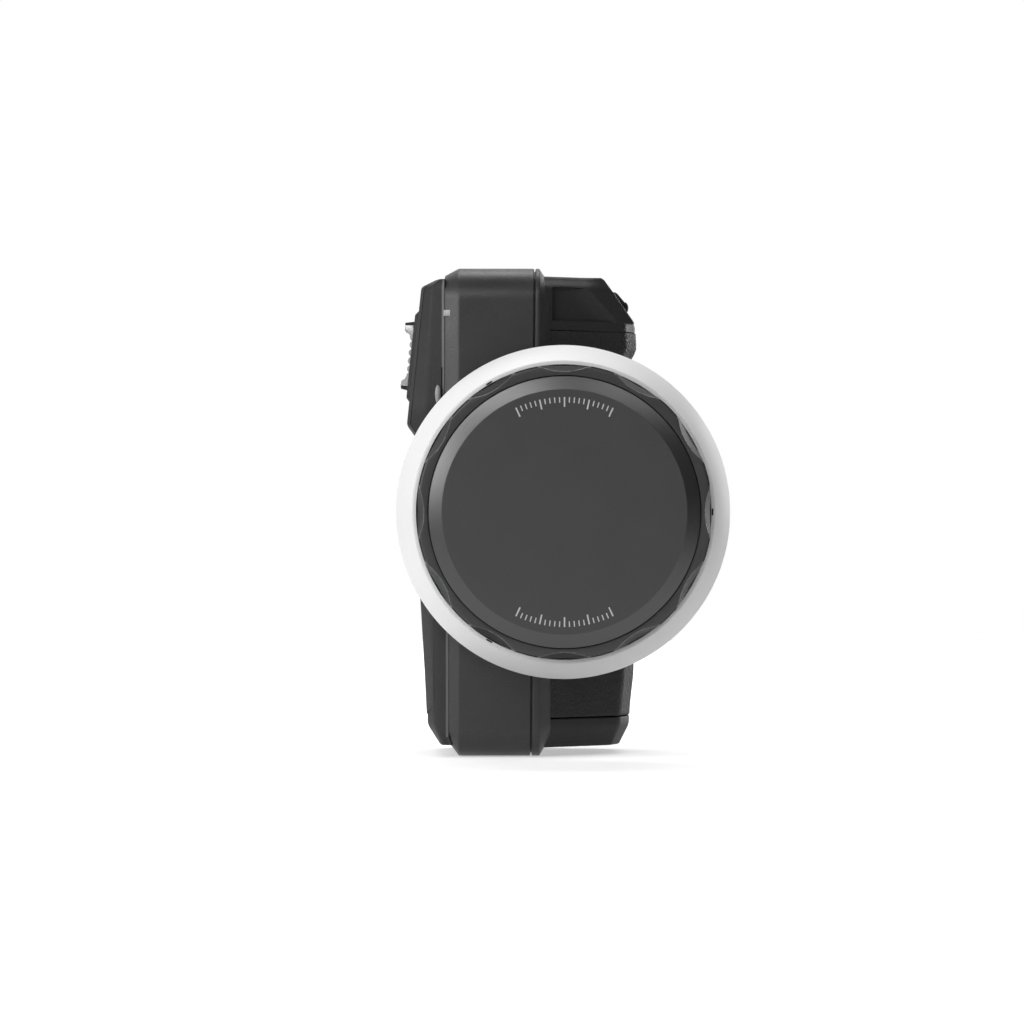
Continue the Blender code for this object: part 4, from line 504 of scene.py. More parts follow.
def band():
    """Build the two shells of the band with soft chamfers and a fine parting line."""
    round_edge, tongue = 0.25, 0.8
    near = [
        band_ring(lambda z: NEAR_EDGE, *(cut + END_INSET for cut in NEAR_CHAMFER)),
        band_ring(lambda z: NEAR_EDGE, *NEAR_CHAMFER, base_turn=1.6),
        band_ring(lambda z: -HALF_FLAT, 0, 0, 0),
        band_ring(lambda z: seam_at(z) - SEAM_GAP - round_edge, 0, 0, 0),
        band_ring(lambda z: seam_at(z) - SEAM_GAP, *[round_edge] * 3),
        band_ring(lambda z: seam_at(z) - SEAM_GAP, *[tongue] * 3),
        band_ring(lambda z: seam_at(z) + 1.0, *[tongue] * 3),
    ]
    rings = softened(near, [0, 0.30, 0.30, 0.12, 0, 0, 0])
    near_shell = loft("operator_shell", rings, "band_black", "hand_unit", angle=SOFT)
    stands_for("operator_housing")
    far = [
        band_ring(lambda z: seam_at(z) + SEAM_GAP, *[round_edge] * 3),
        band_ring(lambda z: seam_at(z) + SEAM_GAP + round_edge, 0, 0, 0),
        band_ring(lambda z: HALF_FLAT, 0, 0, 0),
        band_ring(lambda z: FAR_EDGE, *FAR_CHAMFER),
        band_ring(lambda z: FAR_EDGE, *(cut + END_INSET for cut in FAR_CHAMFER)),
    ]
    rings = softened(far, [0, 0.12, 0.30, 0.35, 0])
    far_shell = loft("far_shell", rings, "band_black", "hand_unit", angle=SOFT)
    stands_for("far_housing")


def status_light():
    """Build the light guide in the chamfer, round to its edge."""
    cut = NEAR_CHAMFER[2]
    turn = math.atan2(cut, -HALF_FLAT - NEAR_EDGE)
    back, height = 0.70, 107.2
    side = NEAR_EDGE + back * math.cos(turn)
    depth = BAND_FRONT + cut - back * math.sin(turn)
    place = Vector((side, depth, height)) * MM
    matrix = Matrix.Translation(place) @ Matrix.Rotation(-turn, 4, "Z")
    rings = []
    for y, trim in ((1.2, 0.0), (0.02, 0.0), (-0.05, 0.03), (-0.07, 0.10)):
        outline = rectangle(2.2 - 2 * trim, 1.44 - 2 * trim, 0.16, (0.05, 0.0))
        rings.append([(p.x, y, p.y) for p in outline])
    made = loft("status_light_look", rings, "light_diffuser", "hand_unit", angle=SOFT,
                matrix=matrix)
    stands_for("status_light")


# Far side

# Shares of the finger grip's height, and how far it reaches at each
GRIP_MARKS = (0.0, 0.13, 0.36, 0.62, 0.82, 0.915, 0.945, 0.962, 1.0)
GRIP_REACHES = (32.1, 33.1, 33.1, 30.2, 30.75, 31.75, 33.25, 33.75, 33.6)
CORE_BASE = 9.4
CORE_RISE = 93.2
CORE_INSET = 2.2
DISH_DEPTH = 1.5
DISH_LEFT = 12.9
DISH_TOP = 113.6
DISH_FADE = 7.0
BUTTON_DROP = -0.06


def slope_at(index):
    """Return the slope of the grip's curve at a mark."""
    if index in (0, len(GRIP_MARKS) - 1):
        return 0.0
    rise = [b - a for a, b in zip(GRIP_REACHES, GRIP_REACHES[1:])]
    run = [b - a for a, b in zip(GRIP_MARKS, GRIP_MARKS[1:])]
    before, after = rise[index - 1] / run[index - 1], rise[index] / run[index]
    if before * after <= 0:
        return 0.0
    return 2 * before * after / (before + after)


def grip_reach(share):
    """Return the finger grip's reach at a share of its height."""
    index = 0
    while index < len(GRIP_MARKS) - 2 and share > GRIP_MARKS[index + 1]:
        index += 1
    low, high = GRIP_MARKS[index], GRIP_MARKS[index + 1]
    t = (share - low) / (high - low)
    return (
        (2 * t ** 3 - 3 * t ** 2 + 1) * GRIP_REACHES[index]
        + (t ** 3 - 2 * t ** 2 + t) * (high - low) * slope_at(index)
        + (3 * t ** 2 - 2 * t ** 3) * GRIP_REACHES[index + 1]
        + (t ** 3 - t ** 2) * (high - low) * slope_at(index + 1)
    )


def far_plan(reach, height, amount=0.0):
    """Return the far side's outline in plan, moved inwards by an amount."""
    shoulder = FAR_EDGE + (reach - FAR_EDGE) * 0.87
    front = FAR_HALF * 0.46
    slope = (FAR_HALF - front) / (shoulder - FAR_EDGE)
    root = FAR_HALF + slope * (FAR_EDGE - ROOT_REACH) * 0.5
    corners = [
        (ROOT_REACH, -root),
        (shoulder, -front),
        (reach, -FAR_HALF * 0.16),
        (reach, FAR_HALF * 0.44),
        (shoulder, FAR_HALF * 0.80),
        (ROOT_REACH, FAR_HALF),
    ]
    moved = inset(corners, [amount] * 5 + [0.0])
    turn = max(4.0 - amount, 0.75)
    outline = rounded(moved, [0.0, turn, turn, turn, turn, 0.0], 10)
    return [(p.x, p.y, height) for p in outline]


def far_side():
    """Build the foot with the core of the grip, and the finger grip round it."""
    foot = [
        far_plan(31.9, 2.0, 4.0),
        far_plan(31.9, 2.0, 2.5),
        far_plan(31.9, 7.0),
        far_plan(32.0, 9.0),
        far_plan(32.1, 9.0, 1.2),
        far_plan(32.1, CORE_BASE, 1.9),
    ]
    rings = softened(foot, [0, 0.6, 0.7, 0.25, 0, 0])
    steps = 12
    rings += [far_plan(grip_reach(s / steps), CORE_BASE + CORE_RISE * s / steps, CORE_INSET)
              for s in range(1, steps + 1)]
    rings += [far_plan(MODULE_REACH, 103.4, CORE_INSET)]
    core = loft("far_foot", rings, "shell_black", "hand_unit", angle=SOFT)

    steps, lap = 72, 1.4
    heights = [GRIP_LOW + (GRIP_TOP - GRIP_LOW) * s / steps for s in range(steps + 1)]
    grip = [far_plan(grip_reach(s / steps), z) for s, z in enumerate(heights)]
    low = [far_plan(grip_reach(0), GRIP_LOW, lap), far_plan(grip_reach(0), GRIP_LOW)]
    high = [far_plan(grip_reach(1), GRIP_TOP), far_plan(grip_reach(1), GRIP_TOP, lap)]
    rings = softened(low + grip[1:-1] + high, [0, 0.5] + [0] * (steps - 1) + [0.18, 0])
    pad = loft("finger_grip", rings, "rubber_black", "hand_unit", angle=60)
    stands_for("finger_pad")


def smooth_step(value):
    """Return a value from 0 to 1 with eased ends."""
    value = min(max(value, 0.0), 1.0)
    return value * value * (3 - 2 * value)


def smooth_least(a, b, width):
    """Return the smaller value, with a round change over a width."""
    h = min(max(0.5 + 0.5 * (b - a) / width, 0.0), 1.0)
    return b + (a - b) * h - width * h * (1 - h)


def slant_at(height):
    """Return how far the slanted face reaches at a height."""
    fall = 0.35 * smooth_step((height - MODULE_TOP + 0.5) / 0.5)
    return FINGER_MIDDLE[0] + (FINGER_MIDDLE[2] - height) * FINGER_SLOPE - fall


def dish_depth(x, y, z):
    """Return how deep the dish in the module's front lies at a place."""
    if y > -6.0:
        return 0.0
    rise = smooth_step((z - LEDGE) / 0.5) * smooth_step((DISH_TOP - z) / 0.35)
    side = smooth_step((x - DISH_LEFT) / 0.45)
    edge = 22.2 + (112.8 - z) * 0.92
    share = min(max((x - edge + DISH_FADE) / DISH_FADE, 0.0), 1.0)
    return DISH_DEPTH * rise * side * (1 - share * share)


def module_levels():
    """Return the height of each ring of the module, with how far it is moved inwards."""
    levels = [(MODULE_BASE, 1.2), (MODULE_BASE, 0.3), (MODULE_BASE + 0.04, 0.12),
              (MODULE_BASE + 0.12, 0.03)]
    steps, chamfer, bend = 56, 0.9, 0.5
    low, high = MODULE_BASE + 0.4, MODULE_TOP - 2.75
    levels += [(low + (high - low - bend) * n / steps, 0.0) for n in range(steps + 1)]
    for n in range(1, 6):
        t = n / 6
        levels.append((high - bend * (1 - t) ** 2 + chamfer * t * t, chamfer * t * t))
    for n in range(7):
        t = n / 6
        levels.append((high + chamfer + chamfer * t, chamfer + chamfer * t))
    for n in range(1, 6):
        t = n / 5
        levels.append((MODULE_TOP - 0.95 * (1 - t) ** 2, 2.4 - 0.6 * (1 - t) ** 2 + 0.7 * t * t))
    return levels + [(MODULE_TOP, 4.2)]


def module_ring(height, amount, parts):
    """Return one ring of the module, cut by the slanted face and sunk by the dish."""
    plan = far_plan(MODULE_REACH, height, amount)
    ring = []
    for index, count in enumerate(parts):
        here, after = Vector(plan[index]), Vector(plan[(index + 1) % len(plan)])
        for n in range(count):
            x, y, _ = here.lerp(after, n / count)
            if y < -4.0:
                # the top's front chamfer narrows towards the slanted face
                y -= 0.7 * min(amount, 3.1) * smooth_step((x - 19.5) / 6.5)
            if height > LEDGE and x > 28.0 and y < -3.4:
                # above the ledge the front corner is a flat chamfer
                x = max(x, smooth_least(MODULE_REACH, 30.7 + (y + 10.12) / 0.653, 0.5))
            x = smooth_least(x, slant_at(height), 0.8)
            ring.append((x, y + dish_depth(x, y, height), height))
    return ring


def module():
    """Build the cover above the grip, with its slanted face and shallow dished front."""
    base, step = far_plan(MODULE_REACH, 0.0), 0.4
    parts = [max(int((Vector(base[(i + 1) % len(base)]) - Vector(base[i])).length / step), 1)
             for i in range(len(base))]
    rings = [module_ring(height, amount, parts) for height, amount in module_levels()]
    cover = loft("finger_cover", rings, "shell_black", "hand_unit", angle=45)
    outline = rectangle(9.3, 6.8, 2.6, (0.0, BUTTON_DROP))
    carved(cover, cutter("well", outline, -3.0, 4.0, FINGER_FACE))
    stands_for("finger_module")


def finger_button():
    """Build the two-humped button in the slanted face."""
    half_length, half_width, floor = 3.2, 4.5, -2.9
    # Shares of the half length, and the height over the face at each
    profile = ((-1.0, 0.0), (-0.96, 0.35), (-0.87, 0.85), (-0.77, 1.16), (-0.66, 1.42),
               (-0.53, 1.58), (-0.38, 1.63), (-0.27, 1.58), (-0.21, 1.34), (0.0, 1.28),
               (0.30, 1.22), (0.62, 1.15), (0.80, 1.00), (0.90, 0.74), (0.96, 0.45), (1.0, 0.0))
    rows = []
    for share, height in profile:
        z = share * half_length + BUTTON_DROP
        half = half_width * math.sqrt(max(1 - abs(share) ** 4 * 0.55, 0.05))
        row = []
        for step in range(17):
            t = step / 16 * 2 - 1
            edge = (1 - abs(t) ** 6) ** 0.5
            row.append((height * edge - 0.02, t * half, z))
        rows.append(row + [(floor, t * half, z) for t in (1.0, 0.0, -1.0)])
    made = loft("finger_button_look", rows, "knob_black", "finger_button", angle=SOFT,
                matrix=FINGER_FACE)
    stands_for("finger_button")


# Operator side

# Heights of the cover's rings, and how far it reaches at each
COVER_FOOT = (14.3, 2.7)
COVER_MARKS = ((17.35, 7.5), (17.35, 9.7), (19.1, 38.25), (19.5, 76.2))
COVER_KNEE = 4.8
LIP_ROOT = -13.75
LIP_BASE = 4.9
PAD_EDGE = -15.75


def on_lip(side):
    """Tell whether a face lies on the lip that laps over the band."""
    place = side.center / MM
    return place.x > LIP_ROOT and side.normal.x < -0.4 and place.z > LIP_BASE


def head_plan(reach, height, depth=21.5):
    """Return the head's outline, with a fine strip at its front edge and a lip at the band."""
    reach += 0.15
    span = reach - OPERATOR_ROOT
    shoulder = -OPERATOR_ROOT - span * 0.5
    strip = 0.80 * min(span / 6.0, 1.0)
    edge = -depth * 0.73
    corners = [
        (-13.10, depth),
        (shoulder, depth * 0.96),
        (-reach, depth * 0.74),
        (-reach, edge),
        (strip - reach, edge - 1.75),
        (strip - reach + 0.04, edge - 1.62),
        (shoulder, -depth * 0.95),
        (-13.12 - min(0.75, span * 0.25), 0.45 - depth),
        (-13.13, -depth - 0.20),
        (-13.05, 0.20 - depth),
    ]
    turn = min(2.5, span * 0.35)
    radii = [0.3, turn, 2.5, 0.5, 0.0, 0.0, turn, 0.25, 0.10, 0.0]
    return [(p.x, p.y, height) for p in rounded(corners, radii, 8)]


def head():
    """Build the tilted control head with the seats of its display and its slider."""
    rings = [
        head_plan(18.6, 76.5, 19.0),
        head_plan(19.6, 76.5, 20.0),
        head_plan(22.3, 80.2, 20.7),
        head_plan(21.9, 83.9),
        head_plan(18.75, 113.75),
        head_plan(15.15, 115.5, 21.2),
        head_plan(14.8, 115.5, 21.0),
    ]
    rings = softened(rings, [0, 0.5, 0.9, 1.2, 0.8, 0.25, 0], 5)
    made = loft("head_shell", rings, "shell_black", "hand_unit", angle=40)
    room = 0.3
    width, height = DISPLAY_SIZE
    glass = rectangle(width + room, height + room, 1.5, DISPLAY_CENTRE)
    width, height = BEZEL_SIZE
    bezel = rectangle(width + room, height + 0.35, 1.8, BEZEL_CENTRE)
    carved(
        made,
        cutter("glass_seat", glass, -4.0, 3.0, HEAD_FACE),
        cutter("bezel_seat", bezel, -4.0, 5.0, HEAD_FACE),
        slot_cutter("lanyard_slot", (-13.93, -26.0, 84.2), (-13.68, -19.5, 94.2)),
    )
    # the lip's left-facing faces are painted paler: painted highlight
    refinish(made, "painted_lip_highlight", on_lip)
    stands_for("control_head")


def display():
    """Build the display's glass with softened edges."""
    width, height = DISPLAY_SIZE
    rings = []
    for x, trim in ((0.75, 0.0), (0.0, 0.0), (-0.07, 0.04), (-0.10, 0.14)):
        outline = rectangle(width - 2 * trim, height - 2 * trim, 1.4, DISPLAY_CENTRE)
        rings.append([(x, p.x, p.y) for p in outline])
    shown = loft("display_look", rings, "dark_glass", "hand_unit", matrix=HEAD_FACE)
    stands_for("display_glass")


def pale_highlight_bar():
    """Build the small pale bar in the lanyard slot, whose pale grey is a painted highlight: the
    glint on the head's rounded edge.
    """
    profile = ((85.2, 0.05), (85.4, 0.30), (85.9, 0.52), (86.6, 0.66), (87.6, 0.70),
               (88.4, 0.68), (89.1, 0.56), (89.6, 0.34), (89.9, 0.05))
    rings = [[(-14.77 + x, -21.05 + y, height) for x, y in circle(radius, 24)]
             for height, radius in profile]
    # the bar's pale light_diffuser grey paints a highlight
    made = loft("pale_highlight_bar", rings, "light_diffuser", "hand_unit", angle=60)


def slider_bezel():
    """Build the bezel round the slider; each row gives a depth, two sides and a radius."""
    rows = (
        (0.6, 7.2, 19.3, 0.5),
        (-1.40, 7.2, 19.3, 0.5),
        (-1.55, 7.4, 19.5, 0.6),
        (-1.60, 8.3, 20.6, 1.0),
        (-1.53, 8.6, 21.0, 1.1),
        (-0.80, 10.0, 22.7, 1.7),
        (-0.60, *BEZEL_SIZE, 1.75),
        (0.6, *BEZEL_SIZE, 1.75),
    )
    rings = [[(x, p.x, p.y) for p in rectangle(width, height, radius, BEZEL_CENTRE, 8)]
             for x, width, height, radius in rows]
    made = loft("slider_bezel_look", rings, "shell_black", "hand_unit", True, SOFT, HEAD_FACE)
    stands_for("slider_bezel")


def slider_outline():
    """Return the slider's side view: its upper horn, four ribs and its lower horn."""
    upper = [(0.5, 7.2), (-1.72, 7.2), (-1.72, 7.86), (-1.80, 7.85), (-3.74, 7.64), (-3.83, 7.54),
             (-3.85, 6.94), (-3.73, 6.35), (-3.29, 5.92), (-2.66, 5.66), (-2.40, 5.42),
             (-2.29, 4.72), (-2.10, 4.24), (-1.70, 3.93)]
    lower = [(-1.74, -4.00), (-2.10, -4.29), (-2.26, -4.78), (-2.34, -5.19), (-2.60, -5.70),
             (-2.96, -5.96), (-3.25, -6.16), (-3.36, -6.55), (-3.38, -7.00), (-3.36, -7.36),
             (-1.80, -7.36), (-1.72, -7.36), (-1.72, -7.2), (0.5, -7.2)]
    pitch, floor = 2.03, -1.68
    rib = ((0.82, 0.0), (0.66, 0.22), (0.38, 0.48), (0.13, 0.57), (-0.13, 0.57),
           (-0.38, 0.48), (-0.66, 0.22), (-0.82, 0.0))
    ribs = [(floor - rise, pitch * (1.5 - number) + share)
            for number in range(4) for share, rise in rib]
    return upper + ribs + lower


def on_horn_chamfer(side):
    """Tell whether a face of the slider lies on the dark front chamfer of a horn."""
    return abs(side.normal.z) > 0.4 and side.normal.y < -0.3


def slider():
    """Build the silver thumb slider, whose horns have sloping ends."""
    full = 0.70
    rings = []
    for y, shrink, rise in ((9.0, 0.10, 0.0), (9.08, 0.0, 0.10), (9.50, 0.0, full),
                            (14.9, 0.0, full), (15.32, 0.0, 0.10), (15.4, 0.10, 0.0)):
        ring = []
        for x, z in slider_outline():
            if x < -1.71 and abs(z) > 7.3:
                slope = 0.16 * (x + 3.4) * rise
                x += (0.16 if z < 0 and x < -3.0 else 0.0) * rise / full
                z += rise + slope if z > 0 else -rise * 1.15 - slope
            ring.append((x + shrink * (x < -1.75), y, SLIDER_LIFT + z))
        rings.append(ring)
    made = loft("thumb_slider_look", rings, "slider_silver", "thumb_slider", angle=35,
                matrix=HEAD_FACE)
    refinish(made, "shell_black", on_horn_chamfer)
    stands_for("thumb_slider")


def cover_ring(reach, height, amount=0.0):
    """Return the cover's outline, whose raised lip laps over the band's chamfer."""
    foot = min(max((COVER_KNEE - height) / 2.1, 0.0), 1.0)
    depth, root = 23.15 - 1.3 * foot, -12.05 + 0.8 * foot
    lip = 0.80
    low = depth - lip
    span = reach - OPERATOR_ROOT
    shoulder = -OPERATOR_ROOT - span * 0.5
    corners = [
        (root, depth),
        (root - lip, low),
        (shoulder, low * 0.975),
        (-reach, low * 0.745),
        (-reach, -low * 0.745),
        (shoulder, -low * 0.975),
        (root - lip, -low),
        (root, -depth),
    ]
    moved = inset(corners, [amount] * 7 + [0.0])
    turn = max(min(3.0, 1.2 + span * 0.6) - amount, 0.5)
    outline = rounded(moved, [0.12, 0.0, turn, turn, turn, turn, 0.0, 0.12], 8)
    return [(p.x, p.y, height) for p in outline]


def pad_ring(reach, height, amount):
    """Return the thumb pad's outline, a trace proud of the cover, with its end let into it."""
    ring = cover_ring(reach, height, amount - 0.06)
    first = min(x for x, y, z in ring if x > PAD_EDGE)
    cross = 0.0
    for (x1, y1, z1), (x2, y2, z2) in zip(ring, ring[1:]):
        if (x1 <= PAD_EDGE) != (x2 <= PAD_EDGE):
            cross = abs(y1 + (y2 - y1) * (PAD_EDGE - x1) / (x2 - x1))
    # the lower edge slants, less so with each ring above it
    slant = 1.35 * max(1 - (height - 12.4) / 8.0, 0.0)
    made = []
    for x, y, z in ring:
        if x > PAD_EDGE:
            sink = (x - first) / 4
            x, y = PAD_EDGE + 0.02 * sink, math.copysign(cross - sink, y)
        made.append((x, y, z - slant * (PAD_EDGE - x) * (x < PAD_EDGE)))
    return made


def cover():
    """Build the side cover with the wells of its keys."""
    rings = [cover_ring(14.1, 2.7, 0.25), cover_ring(*COVER_FOOT), cover_ring(15.6, COVER_KNEE)]
    rings += [cover_ring(reach, height) for reach, height in COVER_MARKS]
    rings += [cover_ring(18.6, 76.2, 0.9)]
    rings = softened(rings, [0, 0.4, 0, 1.2, 0, 0, 0.4, 0], 5)
    made = loft("cover_shell", rings, "shell_black", "hand_unit", angle=40)
    wells, outside, floor = [], -25.0, -17.4
    for number, side in enumerate(KEY_PLACES.values()):
        outline = [(side + y, KEY_HEIGHT + z) for y, z in circle(3.45, 48)]
        wells.append(cutter("key_well_%d" % number, outline, outside, floor))
    carved(made, *wells)
    # the lip's left-facing faces are painted paler: painted highlight
    refinish(made, "painted_lip_highlight", on_lip)
    stands_for("side_cover")


def thumb_pad():
    """Build the rubber pad let into the cover; each row gives a reach, a height and an inset."""
    rows = ((16.7, 12.9, 1.0), (17.5, 12.4, 0.0), (17.62, 14.0, 0.0), (18.0, 20.0, 0.0),
            (19.1, 38.25, 0.0), (19.22, 48.0, 0.0), (18.6, 48.2, 0.6))
    rings = softened([pad_ring(*row) for row in rows], [0, 0.4, 0, 0, 0, 0.4, 0])
    made = loft("thumb_pad_look", rings, "pad_black", "hand_unit", angle=SOFT)
    stands_for("thumb_pad")


def key_look(name, side):
    """Build one round push key with a dished top."""
    top = -20.15
    profile = ((3.2, 3.0), (3.2, 0.5), (3.1, 0.2), (2.85, 0.0), (2.4, 0.06), (1.6, 0.2),
               (0.8, 0.28), (0.05, 0.3))
    rings = [[(top + depth, side + y, KEY_HEIGHT + z) for y, z in circle(radius, 48)]
             for radius, depth in profile]
    made = loft(name + "_look", rings, "shell_black", name, angle=SOFT)
    stands_for(name)


# Knob

def scallop_half(radius, scallop):
    """Return the half angle at which a scallop of a radius leaves a circle of the knob."""
    c = SCALLOP_CENTRE
    cosine = (c * c + radius * radius - scallop * scallop) / (2 * c * radius)
    return math.acos(min(cosine, 1.0))


def scallop_offsets(half):
    """Return the angles from a scallop's middle at which a ring has its points."""
    rest = FULL / SCALLOPS - 2 * half
    across = [half * math.sin(math.pi * (s / 24 - 0.5)) for s in range(24)]
    return across + [half + rest * (1 - math.cos(math.pi * s / 10)) / 2 for s in range(10)]


def knob_ring(radius, depth, soft=0.22):
    """Return a ring of the knob with its scallops and their softened front edges."""
    last = SCALLOP_CENTRE - KNOB_RADIUS
    share = min(max((depth - KNOB_FRONT) / (SCALLOP_END - KNOB_FRONT), 0.0), 1.3)
    scallop = SCALLOP_RADIUS + (last - SCALLOP_RADIUS) * share
    widest = scallop_half(KNOB_RADIUS, SCALLOP_RADIUS)
    half = max(scallop_half(radius, scallop), widest * 0.15)
    pitch = FULL / SCALLOPS
    points = []
    for number in range(SCALLOPS):
        for offset in scallop_offsets(half):
            swing = SCALLOP_CENTRE * math.sin(offset)
            reach, sink = radius, 0.0
            if abs(swing) < scallop and abs(offset) < pitch / 2:
                wall = SCALLOP_CENTRE * math.cos(offset) - math.sqrt(scallop ** 2 - swing ** 2)
                reach = smooth_least(radius, wall, 0.10)
                room = wall - reach
                if soft > 0 and room < soft and wall < radius + soft:
                    room = max(room, 0.0)
                    sink = soft - math.sqrt(max(soft ** 2 - (soft - room) ** 2, 0.0))
            turn = pitch * number + offset
            points.append(on_knob(reach * math.cos(turn), depth + sink, reach * math.sin(turn)))
    return points


def plain_ring(radius, depth):
    """Return a ring of the knob with no scallops, with the same count of points."""
    points = []
    for place in knob_ring(KNOB_RADIUS, KNOB_FRONT, 0):
        away = Vector((place[0] - KNOB_AXIS[0], place[2] - KNOB_AXIS[2])).normalized()
        points.append(on_knob(radius * away.x, depth, radius * away.y))
    return points


def on_scallop_edge(face):
    """Tell whether a face of the knob lies on the fine front edge of a scallop."""
    x = face.center.x / MM - KNOB_AXIS[0]
    z = face.center.z / MM - KNOB_AXIS[2]
    turn = round(math.atan2(z, x) / (FULL / SCALLOPS)) * FULL / SCALLOPS
    away = math.hypot(x - SCALLOP_CENTRE * math.cos(turn), z - SCALLOP_CENTRE * math.sin(turn))
    return -0.93 < face.normal.y < -0.25 and away < SCALLOP_RADIUS + 0.2


def knob():
    """Build the scalloped cup with its flange, from its inner wall round to its back."""
    rings = [knob_ring(radius, depth, 0) for radius, depth in (
        (20.0, 3.3), (32.04, 3.3), (32.04, 1.72), (32.08, 1.63), (32.18, KNOB_FRONT))]
    for radius in (32.6, 32.8, 32.9, 33.0, 33.1, 33.2, 33.3, 33.45, 33.6, 33.8, 34.0):
        rings.append(knob_ring(radius, KNOB_FRONT + 0.04 * max(radius - 32.8, 0) ** 2))
    edge, steps = 0.75, 7
    for step in range(1, steps + 1):
        turn = math.pi / 2 * step / steps
        radius, depth = 34.0 + edge * math.sin(turn), 1.66 + edge * (1 - math.cos(turn))
        rings.append(knob_ring(radius, depth, 0.22 * (1 - step / steps)))
    for depth in (2.7, 3.2, *(float(d) for d in range(4, 16))):
        rings.append(knob_ring(KNOB_RADIUS, depth, 0))
    rings += [plain_ring(radius, depth) for radius, depth in (
        (34.75, 27.5), (34.85, 27.68), (37.8, 27.7), (38.0, 27.85), (38.0, 28.6), (37.85, 28.8),
        (31.1, 28.8), (31.0, 28.7), (31.0, 6.4), (20.0, 6.4))]
    made = loft("knob_grip", rings, "knob_black", "knob", closed=True, angle=35)
    # the knob's front-facing faces take rim_black; the rest stay the darker knob_black, painted
    # shade on the scallop walls and sides
    refinish(made, "rim_black", lambda face: face.normal.y < -0.80)
    # the scallops' softened front edges are painted pale grey: painted highlight lines
    refinish(made, "painted_edge_highlight", on_scallop_edge)
    stands_for("knob_body")


def knob_face():
    """Build the knob's face plate with its bevel, a trace behind the front of the ticks."""
    front, radius = TICK_RISE, FACE_RADIUS
    profile = [(0, front), (10, front), (20, front), (28.5, front), (28.72, front + 0.01),
               (28.9, front + 0.05), (31.76, 0.95), (31.87, 1.02), (radius, 1.14), (radius, 3.0),
               (0, 3.0)]
    face = lathe("knob_face_look", profile, 256, "face_black", "knob", 8)
    refinish(face, "bevel_black", lambda side: -0.98 < side.normal.y < -0.10)
    stands_for("knob_face")


def slot_distance(turn):
    """Return the angle from a turn to the nearest of the ring's three slots."""
    return min(abs((turn - FULL * n / 3 + math.pi) % FULL - math.pi) for n in range(3))


def ring_turns(half):
    """Return the angles of the ring's points, closer together at the edges of its slots."""
    turns = [FULL * step / 360 for step in range(360)]
    turns = [turn for turn in turns if slot_distance(turn) > half + 0.004]
    wide = half + 0.002
    for n in range(3):
        turns += [(FULL * n / 3 + turn) % FULL for turn in (-wide, -half, 0.0, half, wide)]
    return sorted(turns)


def in_release_slot(face):
    """Tell whether a face of the ring lies inside a release slot."""
    x, y, z = face.center / MM - Vector(KNOB_AXIS)
    return math.hypot(x, z) < 35.54 and RING_FRONT + 0.2 < y < RING_FRONT + 2.0


def marking_ring():
    """Build the white ring: lip, fine line, domed cone, band and three release slots."""
    front = RING_FRONT
    profile = [(RING_BORE, 15.62), (35.10, 15.53), (35.19, front), (35.22, front),
               (35.52, front), (35.55, front), (35.78, front), (35.86, 15.53), (35.93, 15.62),
               (36.0, 15.6)]
    steps = 12
    for step in range(1, steps + 1):
        t = step / steps
        profile.append((36.0 + 3.9 * t, 15.6 + 7.72 * t - 0.42 * math.sin(math.pi * t)))
    profile += [(39.97, 23.5), (RING_RADIUS, 23.75), (RING_RADIUS, 26.7), (39.93, 27.1),
                (39.5, 27.52), (39.3, 27.6), (35.2, 27.6), (RING_BORE, 27.45)]
    half, slot_depth = 0.72 / 35.3, 1.6
    turns = ring_turns(half)
    rings = []
    for radius, depth in profile:
        slotted = 35.2 < radius < 35.53 and depth < 16
        ring = []
        for turn in turns:
            sunk = slot_depth if slotted and slot_distance(turn) <= half + 0.0005 else 0.0
            ring.append(on_knob(radius * math.cos(turn), depth + sunk, radius * math.sin(turn)))
        rings.append(ring)
    made = loft("marking_ring_look", rings, "ring_white", "marking_ring", True, 30)
    # the faces inside the release slots are painted black: painted shade in the slots
    refinish(made, "knob_black", in_release_slot)
    stands_for("marking_ring")


def ticks():
    """Print two arcs of plain ticks on the knob's face."""
    verts, faces = [], []
    for side in (1, -1):
        for number in range(-10, 11):
            turn = side * math.pi / 2 + math.radians(2.5 * number)
            low, half = (24.6, 0.17) if number % 5 == 0 else (25.6, 0.13)
            out = Vector((math.cos(turn), math.sin(turn)))
            across = Vector((-out.y, out.x)) * half
            b = len(verts)
            for depth in (0.0, 2 * TICK_RISE):
                for radius, way in ((low, -1), (TICK_END, -1), (TICK_END, 1), (low, 1)):
                    p = out * radius + across * way
                    verts.append(on_knob(p.x, depth, p.y))
            faces += [(b, b + 3, b + 2, b + 1), (b + 4, b + 5, b + 6, b + 7)]
            for k in range(4):
                n = (k + 1) % 4
                faces.append((b + k, b + n, b + 4 + n, b + 4 + k))
    made = piece("face_ticks", verts, faces, "print_grey", "knob")


def turret():
    """Build the fixed turret behind the knob."""
    profile = [(0, 12.0), (27.3, 12.0), (27.5, 12.2), (27.5, 30.3), (27.0, 31.0),
               (15.0, 43.3), (0, 43.3)]
    made = lathe("turret_look", profile, 160, "shell_black", "hand_unit", 30)
    stands_for("knob_turret")


# Stage

# Each lamp's name, place and target in metres, width, height and power in watts
MIDDLE = (0.0, 0.0, 0.06)
LAMPS = (
    ("key", (-0.72, -0.98, 0.33), MIDDLE, 0.38, 0.38, 3.7),
    ("front", (-0.44, -1.05, 0.74), MIDDLE, 0.8, 0.25, 5.0),
    ("fill", (0.42, -1.10, 0.80), MIDDLE, 0.6, 0.25, 1.8),
    ("left", (-0.60, -0.10, 0.22), (0.0, 0.0, 0.1), 0.25, 0.22, 1.3),
    ("top", (0.0, 0.30, 0.85), MIDDLE, 0.9, 0.4, 5.1),
    ("rim", (0.66, 0.80, 0.22), MIDDLE, 0.35, 0.5, 3.3),
)


